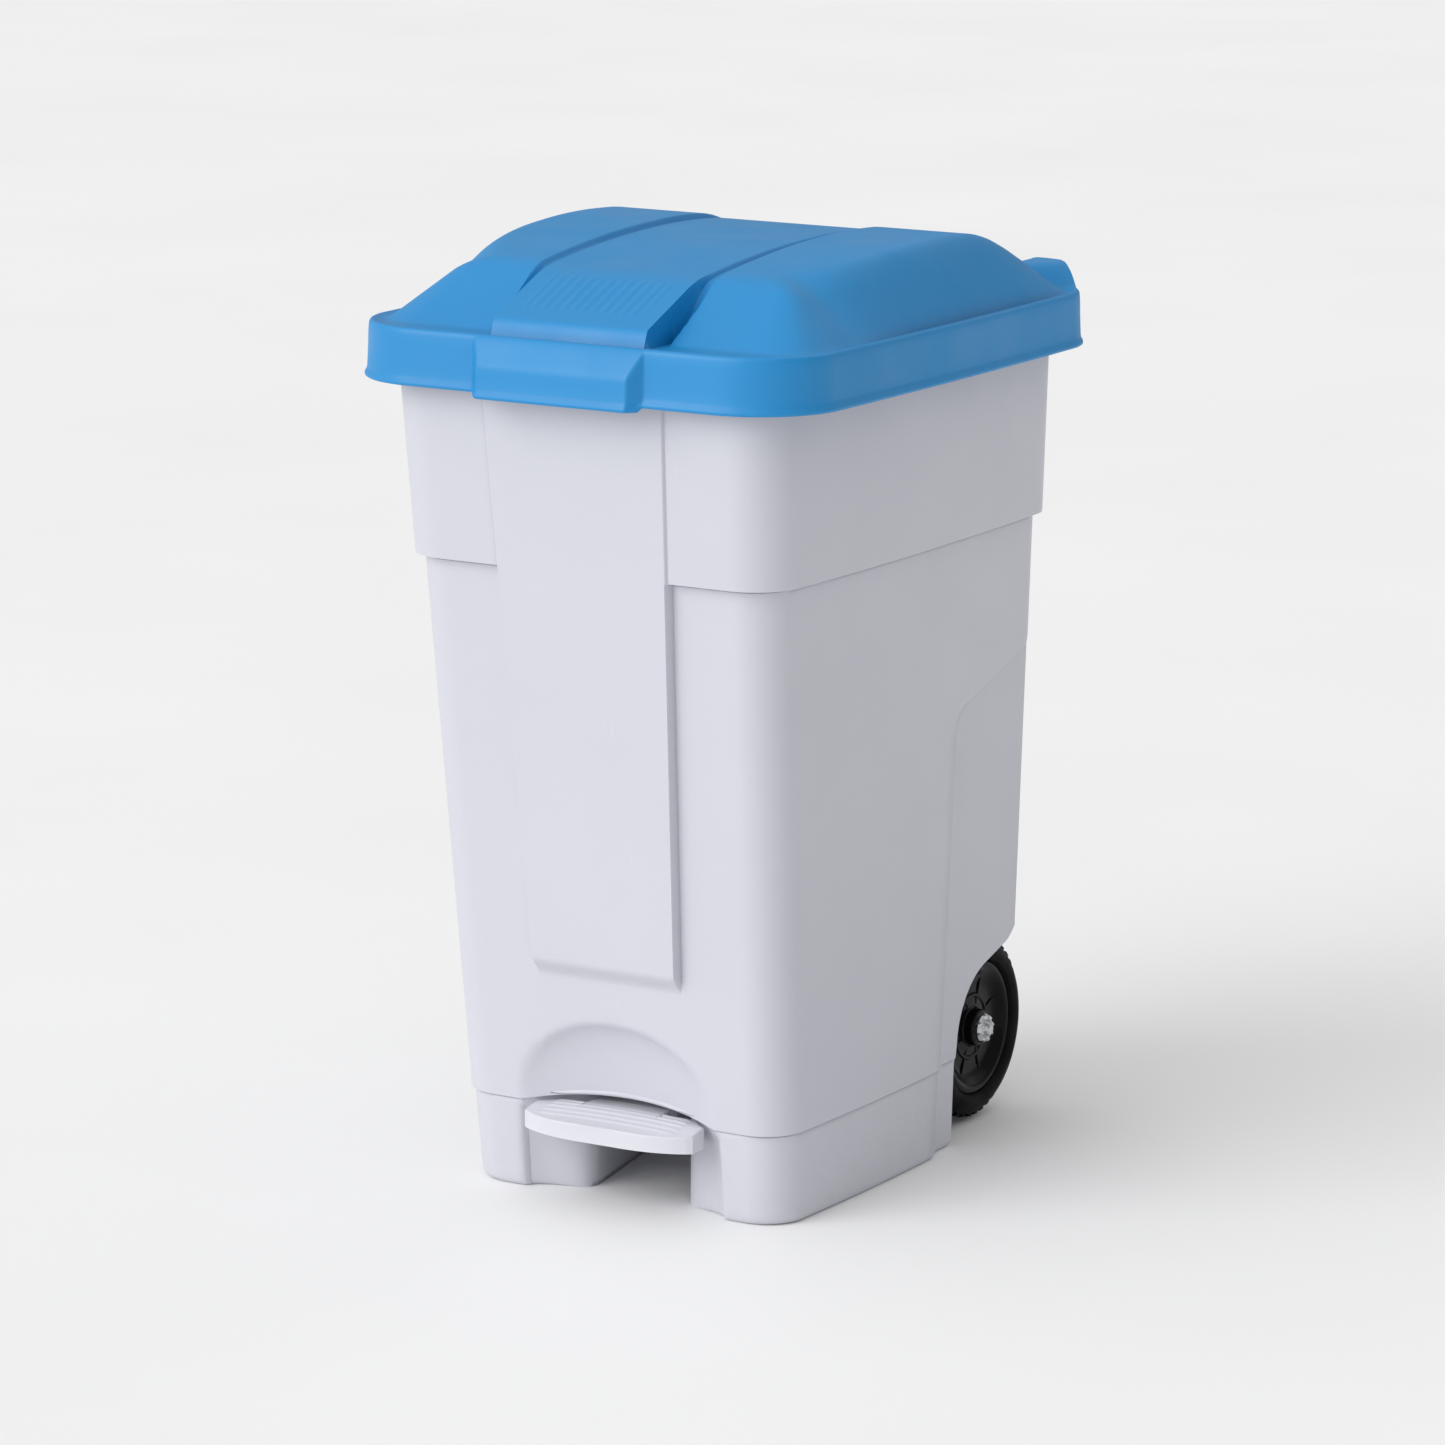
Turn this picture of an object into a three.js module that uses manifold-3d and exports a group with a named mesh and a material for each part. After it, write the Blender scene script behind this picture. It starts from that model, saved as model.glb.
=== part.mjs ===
// A 70 litre pedal bin on two wheels: a one-piece tub, a domed lid on two hinge pins, and a foot
// pedal that lifts the lid through a lever under the floor and a push rod behind the tub.
// Millimetres. +X is the bin's side, +Y its back, +Z up; the floor is at Z = 0.
import * as THREE from "three";
import { mergeVertices } from "three/addons/utils/BufferGeometryUtils.js";
import Module from "manifold-3d";

const wasm = await Module();
wasm.setup();

// ---------- driving dimensions ----------
const WALL = 3;
const LID_WALL = 3;
const GAP = 0.3; // clearance between touching pieces

const SKIRT_TOP = 74; // the band round the feet ends here
const COLLAR_BOTTOM = 507; // the proud band under the lid starts here
const TUB_TOP = 682;
const TUB_BACK = 236;
const BACK_WALL = 229; // below the collar

const TUNNEL = { ceiling: 100, mouthCeiling: 87, halfWidth: 64, throat: 42, mouth: 86 };
const CHANNEL = { halfWidth: 22, floor: 199 }; // upright groove in the back wall for the rod

const WHEEL = { y: 197, z: 78, radius: 75, x: 108, halfWidth: 17 };
const AXLE_RADIUS = 6;
const ARCH_RADIUS = 82;
const ARCH_FRONT = WHEEL.y - ARCH_RADIUS;
const POCKET_X = 84; // inner wall of each wheel pocket
const BRACKET_X = 66; // inner face of each axle bracket

const LID = { bottom: 645, shelf: 692, top: 750, halfWidth: 201, front: -261.5, back: 249.5 };
const BAND_HALF_WIDTH = 68;
const HOOD = { halfWidth: 166, front: 190, back: 248, top: 702, earTop: 708 };
const LIP = { halfWidth: 74, front: -272, bottom: 642 };

const HINGE = { y: 236, z: 691, pinRadius: 4, lugRadius: 7 };
const LEVER_PIN = { y: 218, z: 671, radius: 3 }; // on the lid's lever, 27 mm from the hinge
const ROD = { y: 214, radius: 4, bottom: 46, top: 657.5 };
const PIVOT = { y: 18, z: 50, radius: 5 }; // of the pedal's lever
const ROD_PIN = { y: 214, z: 36, radius: 3 };
const PEDAL = { top: 74, bottom: 56, front: -200, back: -152, halfWidth: 80 };
const GUIDE_HEIGHTS = { lower: 200, upper: 470 };
const HANDLE = { y: 257, z: 612, radius: 10, halfWidth: 84, lugWidth: 12 };
const HAND_RECESS = { halfWidth: 82, floor: 212, low: 578, high: 650 }; // behind the handle

// ---------- finishes ----------
const finish = (color, roughness, metalness = 0) => (
  new THREE.MeshStandardMaterial({ color, roughness, metalness }));
const WHITE = finish(0xdfe4ea, 0.5);
const BLUE = finish(0x1583c8, 0.45);
const BLACK = finish(0x101114, 0.4);
const RUBBER = finish(0x17171a, 0.85);
const STEEL = finish(0xb4b8bc, 0.35, 1);

// ---------- joining and cutting ----------
function solid(geometry) {
  const bare = geometry.clone();
  bare.deleteAttribute("normal");
  bare.deleteAttribute("uv");
  const merged = mergeVertices(bare, 1e-4);
  const triangles = [];
  for (let i = 0; i < merged.index.count; i += 3) {
    const corners = [0, 1, 2].map((k) => merged.index.getX(i + k));
    if (new Set(corners).size === 3) triangles.push(...corners);
  }
  const vertProperties = new Float32Array(merged.attributes.position.array);
  const triVerts = new Uint32Array(triangles);
  return new wasm.Manifold(new wasm.Mesh({ numProp: 3, vertProperties, triVerts }));
}

const join = (...solids) => solids.reduce((whole, piece) => whole.add(piece));
const cut = (whole, ...tools) => tools.reduce((rest, tool) => rest.subtract(tool), whole);

function part(name, shape, material) {
  const { vertProperties, triVerts } = shape.getMesh();
  const geometry = new THREE.BufferGeometry();
  geometry.setAttribute("position", new THREE.BufferAttribute(vertProperties, 3));
  geometry.setIndex(new THREE.BufferAttribute(triVerts, 1));
  geometry.computeVertexNormals();
  const mesh = new THREE.Mesh(geometry, material);
  mesh.name = name;
  return mesh;
}

// ---------- basic shapes ----------
function box(xs, ys, zs) {
  const [sizeX, sizeY, sizeZ] = [xs, ys, zs].map(([low, high]) => high - low);
  const [x, y, z] = [xs, ys, zs].map(([low, high]) => (low + high) / 2);
  return solid(new THREE.BoxGeometry(sizeX, sizeY, sizeZ).translate(x, y, z));
}

const pairOfBoxes = ([near, far], ys, zs) => join(box([near, far], ys, zs), box([-far, -near], ys, zs));

// A round bar along X between two ends.
function barX(radius, [low, high], y, z, sides = 20) {
  const bar = new THREE.CylinderGeometry(radius, radius, high - low, sides).rotateZ(Math.PI / 2);
  return solid(bar.translate((low + high) / 2, y, z));
}

// A round bar along Z, and one along Y.
function barZ(radius, x, y, [low, high], sides = 20) {
  const bar = new THREE.CylinderGeometry(radius, radius, high - low, sides).rotateX(Math.PI / 2);
  return solid(bar.translate(x, y, (low + high) / 2));
}

function barY(radius, x, [low, high], z, sides = 16) {
  const bar = new THREE.CylinderGeometry(radius, radius, high - low, sides);
  return solid(bar.translate(x, (low + high) / 2, z));
}

const shapeOf = (points) => new THREE.Shape(points.map(([x, y]) => new THREE.Vector2(x, y)));

const extruded = (profile, depth) => (
  new THREE.ExtrudeGeometry(profile, { depth, bevelEnabled: false, curveSegments: 10 }));

// A side profile in Y and Z, extruded along X.
function acrossX(profile, [low, high]) {
  const geometry = extruded(profile, high - low);
  const basis = new THREE.Matrix4().makeBasis(
    new THREE.Vector3(0, 1, 0), new THREE.Vector3(0, 0, 1), new THREE.Vector3(1, 0, 0));
  return solid(geometry.applyMatrix4(basis).translate(low, 0, 0));
}

// A plan outline in X and Y, extruded along Z.
function upZ(plan, [low, high]) {
  return solid(extruded(plan, high - low).translate(0, 0, low));
}

// A front profile in X and Z, extruded along Y.
function alongY(profile, [low, high]) {
  return solid(extruded(profile, high - low).rotateX(Math.PI / 2).translate(0, high, 0));
}

// ---------- tapered blocks with round corners ----------
const CORNER_STEPS = 5;

// A rounded rectangle, anticlockwise from above. The two sides swell by `bow` at their middles.
function outline({ halfWidth, front, back, radius = 30, bow = 0 }) {
  const middle = (front + back) / 2;
  const reachX = halfWidth - radius;
  const reachY = (back - front) / 2 - radius;
  const corners = [[1, 1], [-1, 1], [-1, -1], [1, -1]];
  const faceMiddles = [[0, back], [-halfWidth - bow, middle], [0, front], [halfWidth + bow, middle]];
  return corners.flatMap(([sideX, sideY], corner) => {
    const arc = Array.from({ length: CORNER_STEPS + 1 }, (_, step) => {
      const angle = (corner + step / CORNER_STEPS) * Math.PI / 2;
      const x = sideX * reachX + radius * Math.cos(angle);
      return [x, middle + sideY * reachY + radius * Math.sin(angle)];
    });
    return [...arc, faceMiddles[corner]];
  });
}

// A solid through level sections, lowest first: a cylinder whose rings take the outlines' shapes.
function block(sections) {
  const rings = sections.map(outline);
  const count = rings[0].length;
  const levels = sections.length - 1;
  const geometry = new THREE.CylinderGeometry(1, 1, 1, count, levels);
  const position = geometry.attributes.position;
  for (let vertex = 0; vertex < position.count; vertex++) {
    const x = position.getX(vertex);
    const z = position.getZ(vertex);
    const level = Math.round((position.getY(vertex) + 0.5) * levels);
    const { front, back, z: height } = sections[level];
    const index = Math.round((Math.atan2(x, z) / (2 * Math.PI) + 1) * count) % count;
    const onAxis = Math.hypot(x, z) < 0.5;
    const [ringX, ringY] = onAxis ? [0, (front + back) / 2] : rings[level][index];
    position.setXYZ(vertex, ringX, ringY, height);
  }
  return solid(geometry);
}

// The same section drawn in by an equal amount all round.
function inset(section, amount) {
  return {
    ...section,
    halfWidth: section.halfWidth - amount,
    front: section.front + amount,
    back: section.back - amount,
    radius: Math.max(section.radius - amount, 3),
  };
}

// ---------- the tub ----------
const FOOT = { z: 0, halfWidth: 138, front: -157, back: 221, radius: 27, bow: 6 };
const FOOT_EDGE = { z: 7, halfWidth: 143, front: -162.5, back: 226, radius: 31, bow: 6 };
const SKIRT = { z: SKIRT_TOP, halfWidth: 144, front: -170, back: BACK_WALL - 2, radius: 31, bow: 6 };
const WAIST = { z: SKIRT_TOP, halfWidth: 146, front: -172, back: BACK_WALL, radius: 31, bow: 6 };
const CHEST = { z: COLLAR_BOTTOM, halfWidth: 158, front: -217.7, back: BACK_WALL, radius: 31, bow: 7 };
const COLLAR = { z: COLLAR_BOTTOM, halfWidth: 165, front: -224.7, back: TUB_BACK, radius: 36, bow: 7 };
const RIM = { z: TUB_TOP, halfWidth: 169.5, front: -241, back: TUB_BACK, radius: 38, bow: 7 };

function tubBlock(wall) {
  const at = (section, z = section.z) => ({ ...inset(section, wall), z });
  const lowest = wall > 0 ? wall : 0;
  return join(
    block([at(FOOT, lowest), at(FOOT_EDGE), at(SKIRT)]),
    block([at(WAIST), at(CHEST, COLLAR_BOTTOM + wall)]),
    block([at(COLLAR, COLLAR_BOTTOM + wall), at(RIM, TUB_TOP + wall)]));
}

// The raised front panel: a slab that follows the slope of the front wall.
function frontPanel(wall) {
  const narrow = 64 - wall;
  const wide = 79 - wall;
  const top = wall > 0 ? TUB_TOP + 10 : TUB_TOP;
  const face = shapeOf([[-narrow, 196 + wall], [narrow, 196 + wall], [wide, top], [-wide, top]]);
  const proud = 9 - wall;
  const slab = shapeOf([
    [-120, 190], [-171.5, 180], [-184.5 - proud, 204], [-216 - proud, COLLAR_BOTTOM],
    [-230.5 - proud, 640], [-234.5 - proud, 700], [-120, 700]]);
  return alongY(face, [-260, -130]).intersect(acrossX(slab, [-90, 90]));
}

// The recessed rear part of each side wall, which runs down past the wheels.
function sideRecess(grow) {
  const profile = new THREE.Shape();
  profile.moveTo(79 - grow, -5);
  profile.lineTo(80 - grow, 330);
  profile.quadraticCurveTo(81 - grow, 362 + grow, 101, 368 + grow);
  profile.lineTo(245, 405 + grow);
  profile.lineTo(245, -5);
  const lower = { z: -5, halfWidth: 138 - grow, front: -400, back: 400, radius: 5, bow: 3 };
  const upper = { z: 420, halfWidth: 150 - grow, front: -400, back: 400, radius: 5, bow: 4 };
  return cut(acrossX(profile, [-200, 200]), block([lower, upper]));
}

// The passage under the floor: a funnel between the front feet, then a straight run to the back.
function tunnel(grow) {
  const { throat, mouth, halfWidth, ceiling, mouthCeiling } = TUNNEL;
  const plan = shapeOf([
    [mouth + 3 + grow, -180], [mouth + grow, -168], [throat + grow, -114], [halfWidth + grow, -20],
    [halfWidth + grow, 260], [-halfWidth - grow, 260], [-halfWidth - grow, -20],
    [-throat - grow, -114], [-mouth - grow, -168], [-mouth - 3 - grow, -180]]);
  const arch = new THREE.Shape();
  arch.moveTo(-mouth - 4 - grow, -5);
  arch.lineTo(-mouth - 4 - grow, SKIRT_TOP + grow);
  arch.quadraticCurveTo(0, 2 * mouthCeiling - SKIRT_TOP + grow, mouth + 4 + grow, SKIRT_TOP + grow);
  arch.lineTo(mouth + 4 + grow, -5);
  return join(
    upZ(plan, [-5, 110]).intersect(alongY(arch, [-260, -60])),
    upZ(plan, [-5, ceiling + grow]).intersect(box([-90, 90], [-100, 270], [-5, 120])));
}

// The scooped hollow over the pedal.
function scoop(grow) {
  const bowl = new THREE.SphereGeometry(1, 20, 12).scale(86 + grow, 34 + grow, 73 + grow);
  return solid(bowl.translate(0, -190, SKIRT_TOP)).intersect(box([-95, 95], [-260, -120], [40, 160]));
}

// Room for one wheel, open below, behind and to the side; both sides together.
function wheelPockets(grow) {
  const profile = new THREE.Shape();
  profile.moveTo(ARCH_FRONT - grow, -5);
  profile.lineTo(ARCH_FRONT - grow, WHEEL.z);
  profile.absarc(WHEEL.y, WHEEL.z, ARCH_RADIUS + grow, Math.PI, Math.PI * 0.58, true);
  profile.lineTo(250, 176 + grow);
  profile.lineTo(250, -5);
  const near = POCKET_X - grow;
  return join(acrossX(profile, [near, 180]), acrossX(profile, [-180, -near]));
}

function rodChannel(grow) {
  const { halfWidth, floor } = CHANNEL;
  return box([-halfWidth - grow, halfWidth + grow], [floor - grow, 300], [60, 720]);
}

function handRecess(grow) {
  const { halfWidth, floor, low, high } = HAND_RECESS;
  return box([-halfWidth - grow, halfWidth + grow], [floor - grow, 300], [low - grow, high + grow]);
}

// What the tub can hold: its own shape less the walls, the tunnel, the pockets and the channel.
function cavity() {
  return cut(
    join(tubBlock(WALL), frontPanel(WALL)),
    tunnel(WALL),
    wheelPockets(WALL),
    rodChannel(WALL),
    handRecess(WALL),
    scoop(WALL),
    sideRecess(WALL),
    box([-200, 200], [ARCH_FRONT - WALL, 300], [-5, TUNNEL.ceiling + WALL]));
}

function hingeLugs() {
  const profile = new THREE.Shape();
  profile.moveTo(HINGE.y - HINGE.lugRadius, 660);
  profile.lineTo(HINGE.y - HINGE.lugRadius, HINGE.z);
  profile.absarc(HINGE.y, HINGE.z, HINGE.lugRadius, Math.PI, -Math.PI / 2, true);
  profile.lineTo(HINGE.y, 660);
  return join(acrossX(profile, [115, 129]), acrossX(profile, [-129, -115]));
}

function handleLugs() {
  const { y, z, halfWidth, lugWidth, radius } = HANDLE;
  const profile = new THREE.Shape();
  profile.moveTo(TUB_BACK - 2, z - 34);
  profile.lineTo(y, z - radius - 5);
  profile.absarc(y, z, radius + 4, -Math.PI / 2, Math.PI / 2, false);
  profile.lineTo(TUB_BACK - 2, z + 34);
  const outer = halfWidth + lugWidth;
  return join(acrossX(profile, [halfWidth, outer]), acrossX(profile, [-outer, -halfWidth]));
}

const guideScrewPlaces = () => Object.values(GUIDE_HEIGHTS).flatMap((z) => [[-32, z], [32, z]]);

function tubShell() {
  const lip = cut(
    block([{ ...inset(RIM, -5), z: 672 }, { ...inset(RIM, -8), z: 675 }, { ...inset(RIM, -8), z: TUB_TOP }]),
    box([-168, 168], [TUB_BACK, 300], [600, 720]));
  const outside = cut(
    join(tubBlock(0), frontPanel(0), lip),
    tunnel(0),
    wheelPockets(0),
    rodChannel(0),
    handRecess(0),
    scoop(0),
    sideRecess(0));
  const pivotRibs = pairOfBoxes([30, 36], [4, 32], [38, TUNNEL.ceiling + 2]);
  const bosses = guideScrewPlaces().map(([x, z]) => barY(6, x, [214, 228], z, 12));
  const shell = join(cut(outside, cavity()), hingeLugs(), handleLugs(), pivotRibs, ...bosses);
  const screwHoles = guideScrewPlaces().map(([x, z]) => barY(2.3, x, [217, 260], z, 8));
  const axleBosses = join(
    barX(13, [BRACKET_X, POCKET_X], WHEEL.y, WHEEL.z),
    barX(13, [-POCKET_X, -BRACKET_X], WHEEL.y, WHEEL.z));
  const underAxle = box([-POCKET_X - 1, POCKET_X + 1], [ARCH_FRONT + 4, 300], [-5, 52]);
  const bracketHollows = pairOfBoxes(
    [BRACKET_X + WALL, POCKET_X - WALL], [ARCH_FRONT + 4, 300], [-5, TUNNEL.ceiling - 2]);
  const leverNotch = box([-15, 15], [190, CHANNEL.floor + 2], [670, 700]);
  return cut(
    join(cut(shell, underAxle, bracketHollows), axleBosses),
    leverNotch,
    barX(AXLE_RADIUS + GAP, [-100, 100], WHEEL.y, WHEEL.z),
    barX(PIVOT.radius + GAP, [-60, 60], PIVOT.y, PIVOT.z),
    barX(HINGE.pinRadius + GAP, [-140, 140], HINGE.y, HINGE.z),
    barX(HANDLE.radius + GAP, [-HANDLE.halfWidth - 8, HANDLE.halfWidth + 8], HANDLE.y, HANDLE.z),
    ...screwHoles);
}

// ---------- the lid ----------
function rimSection(z, amount) {
  const { halfWidth, front, back } = LID;
  return { z, ...inset({ halfWidth, front, back, radius: 68, bow: 5 }, amount) };
}

function rimBlock(wall) {
  const low = wall > 0 ? LID.bottom - 5 : LID.bottom;
  const high = LID.shelf - wall;
  return block([
    rimSection(low, wall), rimSection(LID.bottom + 5, 2.5 + wall), rimSection(high - 4, 6.5 + wall),
    rimSection(high, 9.5 + wall)]);
}

function domeBlock(wall) {
  const sections = [
    { z: 684, halfWidth: 189, front: -240, back: 216, radius: 54, bow: 0 },
    { z: 692, halfWidth: 184, front: -234, back: 210, radius: 50, bow: 0 },
    { z: 738, halfWidth: 114, front: -166, back: 132, radius: 40, bow: 0 },
    { z: LID.top, halfWidth: 84, front: -110, back: 84, radius: 32, bow: 0 },
  ];
  return block(sections.map((section) => ({ ...inset(section, wall), z: section.z - wall })));
}

// The raised band from the front edge over the top of the lid.
function bandBlock(wall) {
  const profile = shapeOf([
    [-200, 680], [-239 + wall, 680], [-239 + wall, 688], [-237 + wall, 703 - wall],
    [-156 + wall, 744 - wall], [-60, 748.5 - wall], [21, 748.5 - wall], [120, 734 - wall],
    [204 - wall, 692 - wall], [204 - wall, 680]]);
  const reach = BAND_HALF_WIDTH - wall;
  return acrossX(profile, [-reach, reach]);
}

function hoodBlock(wall) {
  const { halfWidth, front, back, top, earTop } = HOOD;
  const ys = [front + wall, back - wall];
  const base = box([-halfWidth + wall, halfWidth - wall], ys, [680, top - wall]);
  return join(base, pairOfBoxes([136 + wall, halfWidth - wall], ys, [680, earTop - wall]));
}

function lipBlock(wall) {
  const { halfWidth, front, bottom } = LIP;
  const low = wall > 0 ? bottom - 5 : bottom;
  const profile = shapeOf([
    [-240, low], [front + 2 + wall, low], [front + wall, 650], [front + 1 + wall, 666 - wall / 2],
    [-260 + wall, 685 - wall], [-240, 690 - wall]]);
  return acrossX(profile, [-halfWidth + wall, halfWidth - wall]);
}

function lidShell() {
  const outside = join(rimBlock(0), domeBlock(0), bandBlock(0), hoodBlock(0), lipBlock(0));
  const inside = join(
    rimBlock(LID_WALL), domeBlock(LID_WALL), bandBlock(LID_WALL), hoodBlock(LID_WALL), lipBlock(LID_WALL));
  const rearCut = join(
    box([-184, 184], [196, 300], [600, LID.shelf - LID_WALL]),
    box([-HOOD.halfWidth, HOOD.halfWidth], [196, 300], [600, HINGE.z]));
  const lug = new THREE.Shape();
  lug.moveTo(HINGE.y - HINGE.lugRadius, HOOD.top - 1);
  lug.lineTo(HINGE.y - HINGE.lugRadius, HINGE.z);
  lug.absarc(HINGE.y, HINGE.z, HINGE.lugRadius, Math.PI, 2 * Math.PI, false);
  lug.lineTo(HINGE.y + HINGE.lugRadius, HOOD.top - 1);
  const lugs = [[108, 114], [130, 136], [-114, -108], [-136, -130]].map((xs) => acrossX(lug, xs));
  const seat = box([-24, 24], [170, 206], [688, 712]).intersect(domeBlock(1));
  return cut(
    join(cut(outside, inside, rearCut), seat, ...lugs),
    barX(HINGE.pinRadius + GAP, [-140, 140], HINGE.y, HINGE.z),
    ...leverScrewPlaces().map(([x, y]) => barZ(2.3, x, y, [680, 698], 10)));
}

// ---------- the lid's lever and the push rod ----------
const leverScrewPlaces = () => [[-15, 182], [15, 182]];
const LEVER_PLATE = [684.6, 688 - GAP];

function lidLever() {
  const cheek = shapeOf([
    [176, LEVER_PLATE[1]], [176, LEVER_PLATE[0]], [198, 675], [212, 665], [221, 664.5], [225, 668],
    [225, 674], [206, LEVER_PLATE[1]]]);
  const cheeks = join(acrossX(cheek, [7, 10]), acrossX(cheek, [-10, -7]));
  const plate = box([-22, 22], [174, 192], LEVER_PLATE);
  return cut(
    join(plate, cheeks),
    barX(LEVER_PIN.radius + GAP, [-12, 12], LEVER_PIN.y, LEVER_PIN.z),
    ...leverScrewPlaces().map(([x, y]) => barZ(2.3, x, y, [680, 698], 10)));
}

function slotX(radius, [fromY, toY], z, xs) {
  return join(barX(radius, xs, fromY, z), barX(radius, xs, toY, z),
    box(xs, [fromY, toY], [z - radius, z + radius]));
}

function rodYoke() {
  const head = box([-5, 5], [202, 226], [662, 677.5]);
  const neck = barZ(8, 0, ROD.y, [644, 664], 16).intersect(box([-5, 5], [200, 230], [640, 670]));
  return cut(
    join(head, neck),
    slotX(4.1, [209, 218.5], LEVER_PIN.z - 0.6, [-10, 10]),
    barZ(ROD.radius + GAP, 0, ROD.y, [640, ROD.top + GAP], 16));
}

function rodEye() {
  const { y, z, radius } = ROD_PIN;
  const body = box([-6, 6], [y - 9, y + 9], [z - 9, ROD.bottom + 14]);
  return cut(
    body,
    slotX(radius + 0.6, [y - 1.2, y + 0.4], z, [-10, 10]),
    barZ(ROD.radius + GAP, 0, ROD.y, [ROD.bottom - GAP, 70], 16));
}

// A saddle that closes the channel and holds the rod in a bored block.
function rodGuide(z) {
  const plate = box([-42, 42], [BACK_WALL + GAP, BACK_WALL + 3], [z - 12, z + 12]);
  const guide = box([-12, 12], [204, BACK_WALL + 1], [z - 12, z + 12]);
  const holes = [-32, 32].map((x) => barY(2.3, x, [200, 260], z, 10));
  return cut(join(plate, guide), barZ(ROD.radius + 0.4, 0, ROD.y, [z - 20, z + 20], 16), ...holes);
}

// ---------- the pedal and its lever ----------
function pedalPad() {
  const { top, bottom, front, back, halfWidth } = PEDAL;
  const plan = new THREE.Shape();
  plan.moveTo(-62, back);
  plan.lineTo(-halfWidth, -174);
  plan.quadraticCurveTo(-halfWidth, front + 4, -halfWidth + 24, front + 1);
  plan.quadraticCurveTo(0, front - 1, halfWidth - 24, front + 1);
  plan.quadraticCurveTo(halfWidth, front + 4, halfWidth, -174);
  plan.lineTo(62, back);
  const hollow = join(
    box([-66, 66], [front + 8, back - 6], [bottom - 5, top - 7]),
    box([-13, 13], [-170, -140], [bottom - 5, top - 7]));
  const ribs = Array.from({ length: 5 }, (_, rib) => (
    box([-54, 54], [-192.5 + 7.5 * rib, -189.5 + 7.5 * rib], [top - 1, top + 1.4])));
  const screwHoles = pedalScrewPlaces().map(([x, y]) => barZ(2.3, x, y, [40, top - 2], 10));
  return cut(join(upZ(plan, [bottom, top]), ...ribs), hollow, ...screwHoles);
}

const pedalScrewPlaces = () => [[0, -184], [0, -166]];

function pedalLever() {
  const half = 2.5;
  const line = [[-190, 64], [-140, 64], [PIVOT.y, 52], [150, 37.5], [206, ROD_PIN.z]];
  const profile = shapeOf([
    ...line.map(([y, z]) => [y, z + half]), [221, ROD_PIN.z + 6], [221, ROD_PIN.z - 6],
    [206, ROD_PIN.z - 6], ...line.slice(0, 4).reverse().map(([y, z]) => [y, z - half])]);
  const fork = box([-6.5, 6.5], [196, 240], [20, 60]);
  const sleeve = barX(9, [-28, 28], PIVOT.y, PIVOT.z);
  const screwHoles = pedalScrewPlaces().map(([x, y]) => barZ(2.3, x, y, [40, 80], 10));
  return cut(
    join(acrossX(profile, [-12, 12]), sleeve),
    fork,
    barX(PIVOT.radius + GAP, [-40, 40], PIVOT.y, PIVOT.z),
    barX(ROD_PIN.radius + GAP, [-20, 20], ROD_PIN.y, ROD_PIN.z, 16),
    ...screwHoles);
}

// ---------- wheels ----------
// A closed profile of [radius, x] pairs, turned about the X axis. It starts at the bore's far end
// and runs clockwise: up the bore, out over the near face and back.
function lathe(profile, segments) {
  const points = profile.map(([radius, x]) => new THREE.Vector2(radius, x)).reverse();
  return solid(new THREE.LatheGeometry(points, segments).rotateZ(-Math.PI / 2));
}

function wheelRim() {
  const bore = AXLE_RADIUS + 0.5;
  return lathe([
    [bore, -18], [bore, 14], [16, 14], [19, 6], [44, 2], [50, 13], [57, 15], [57, -15], [52, -15],
    [47, -4], [20, -6], [16, -18], [bore, -18]], 24);
}

function tyre() {
  const { radius, halfWidth } = WHEEL;
  const inner = 58;
  return lathe([
    [inner, -halfWidth + 2], [inner, halfWidth - 2], [64, halfWidth], [71, halfWidth - 2],
    [radius, halfWidth - 7], [radius, -halfWidth + 7], [71, -halfWidth + 2], [64, -halfWidth],
    [inner, -halfWidth + 2]], 28);
}

// A ring on a shaft, with its inner face towards -X.
const collar = (bore, radius, thickness) => (
  lathe([[bore, 0], [bore, thickness], [radius, thickness], [radius, 0], [bore, 0]], 16));

// A domed steel cap, pushed over the end of a shaft.
function pushCap(bore, radius, depth) {
  return lathe([
    [0, depth], [radius * 0.6, depth - 0.6], [radius - 2, depth - 3], [radius - 2, 2], [radius, 1.2],
    [radius, 0], [bore, 0], [bore, depth - 2.5], [0, depth - 2.5]], 16);
}

// A pan-head screw whose head sits on the plane z = 0 and whose shank points up.
function screw(length) {
  const geometry = new THREE.LatheGeometry(
    [[0, -2.2], [2.6, -2], [4, -0.8], [4, 0], [2, 0], [2, length - 1.5], [0, length]]
      .map(([radius, z]) => new THREE.Vector2(radius, z)), 12);
  return solid(geometry.rotateX(Math.PI / 2));
}

// ---------- placing the pieces ----------
const bin = new THREE.Group();
const add = (name, shape, material, place = [0, 0, 0]) => {
  const mesh = part(name, shape, material);
  mesh.position.set(...place);
  bin.add(mesh);
  return mesh;
};

add("body_shell", tubShell(), WHITE);
add("lid_shell", lidShell(), BLUE);
add("pedal_pad", pedalPad(), WHITE);
add("pedal_lever", pedalLever(), STEEL);
add("pedal_pivot_pin", barX(PIVOT.radius, [-42, 42], PIVOT.y, PIVOT.z), STEEL);
const handleReach = HANDLE.halfWidth + 7;
add("rear_handle_tube", barX(HANDLE.radius, [-handleReach, handleReach], HANDLE.y, HANDLE.z), BLACK);
add("push_rod", barZ(ROD.radius, 0, ROD.y, [ROD.bottom, ROD.top - GAP], 16), STEEL);
add("rod_yoke", rodYoke(), STEEL);
add("rod_eye", rodEye(), STEEL);
add("rod_eye_pin", barX(ROD_PIN.radius, [-14, 14], ROD_PIN.y, ROD_PIN.z, 16), STEEL);
add("lid_lever", lidLever(), STEEL);
add("lid_lever_pin", barX(LEVER_PIN.radius, [-12, 12], LEVER_PIN.y, LEVER_PIN.z, 16), STEEL);
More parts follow.
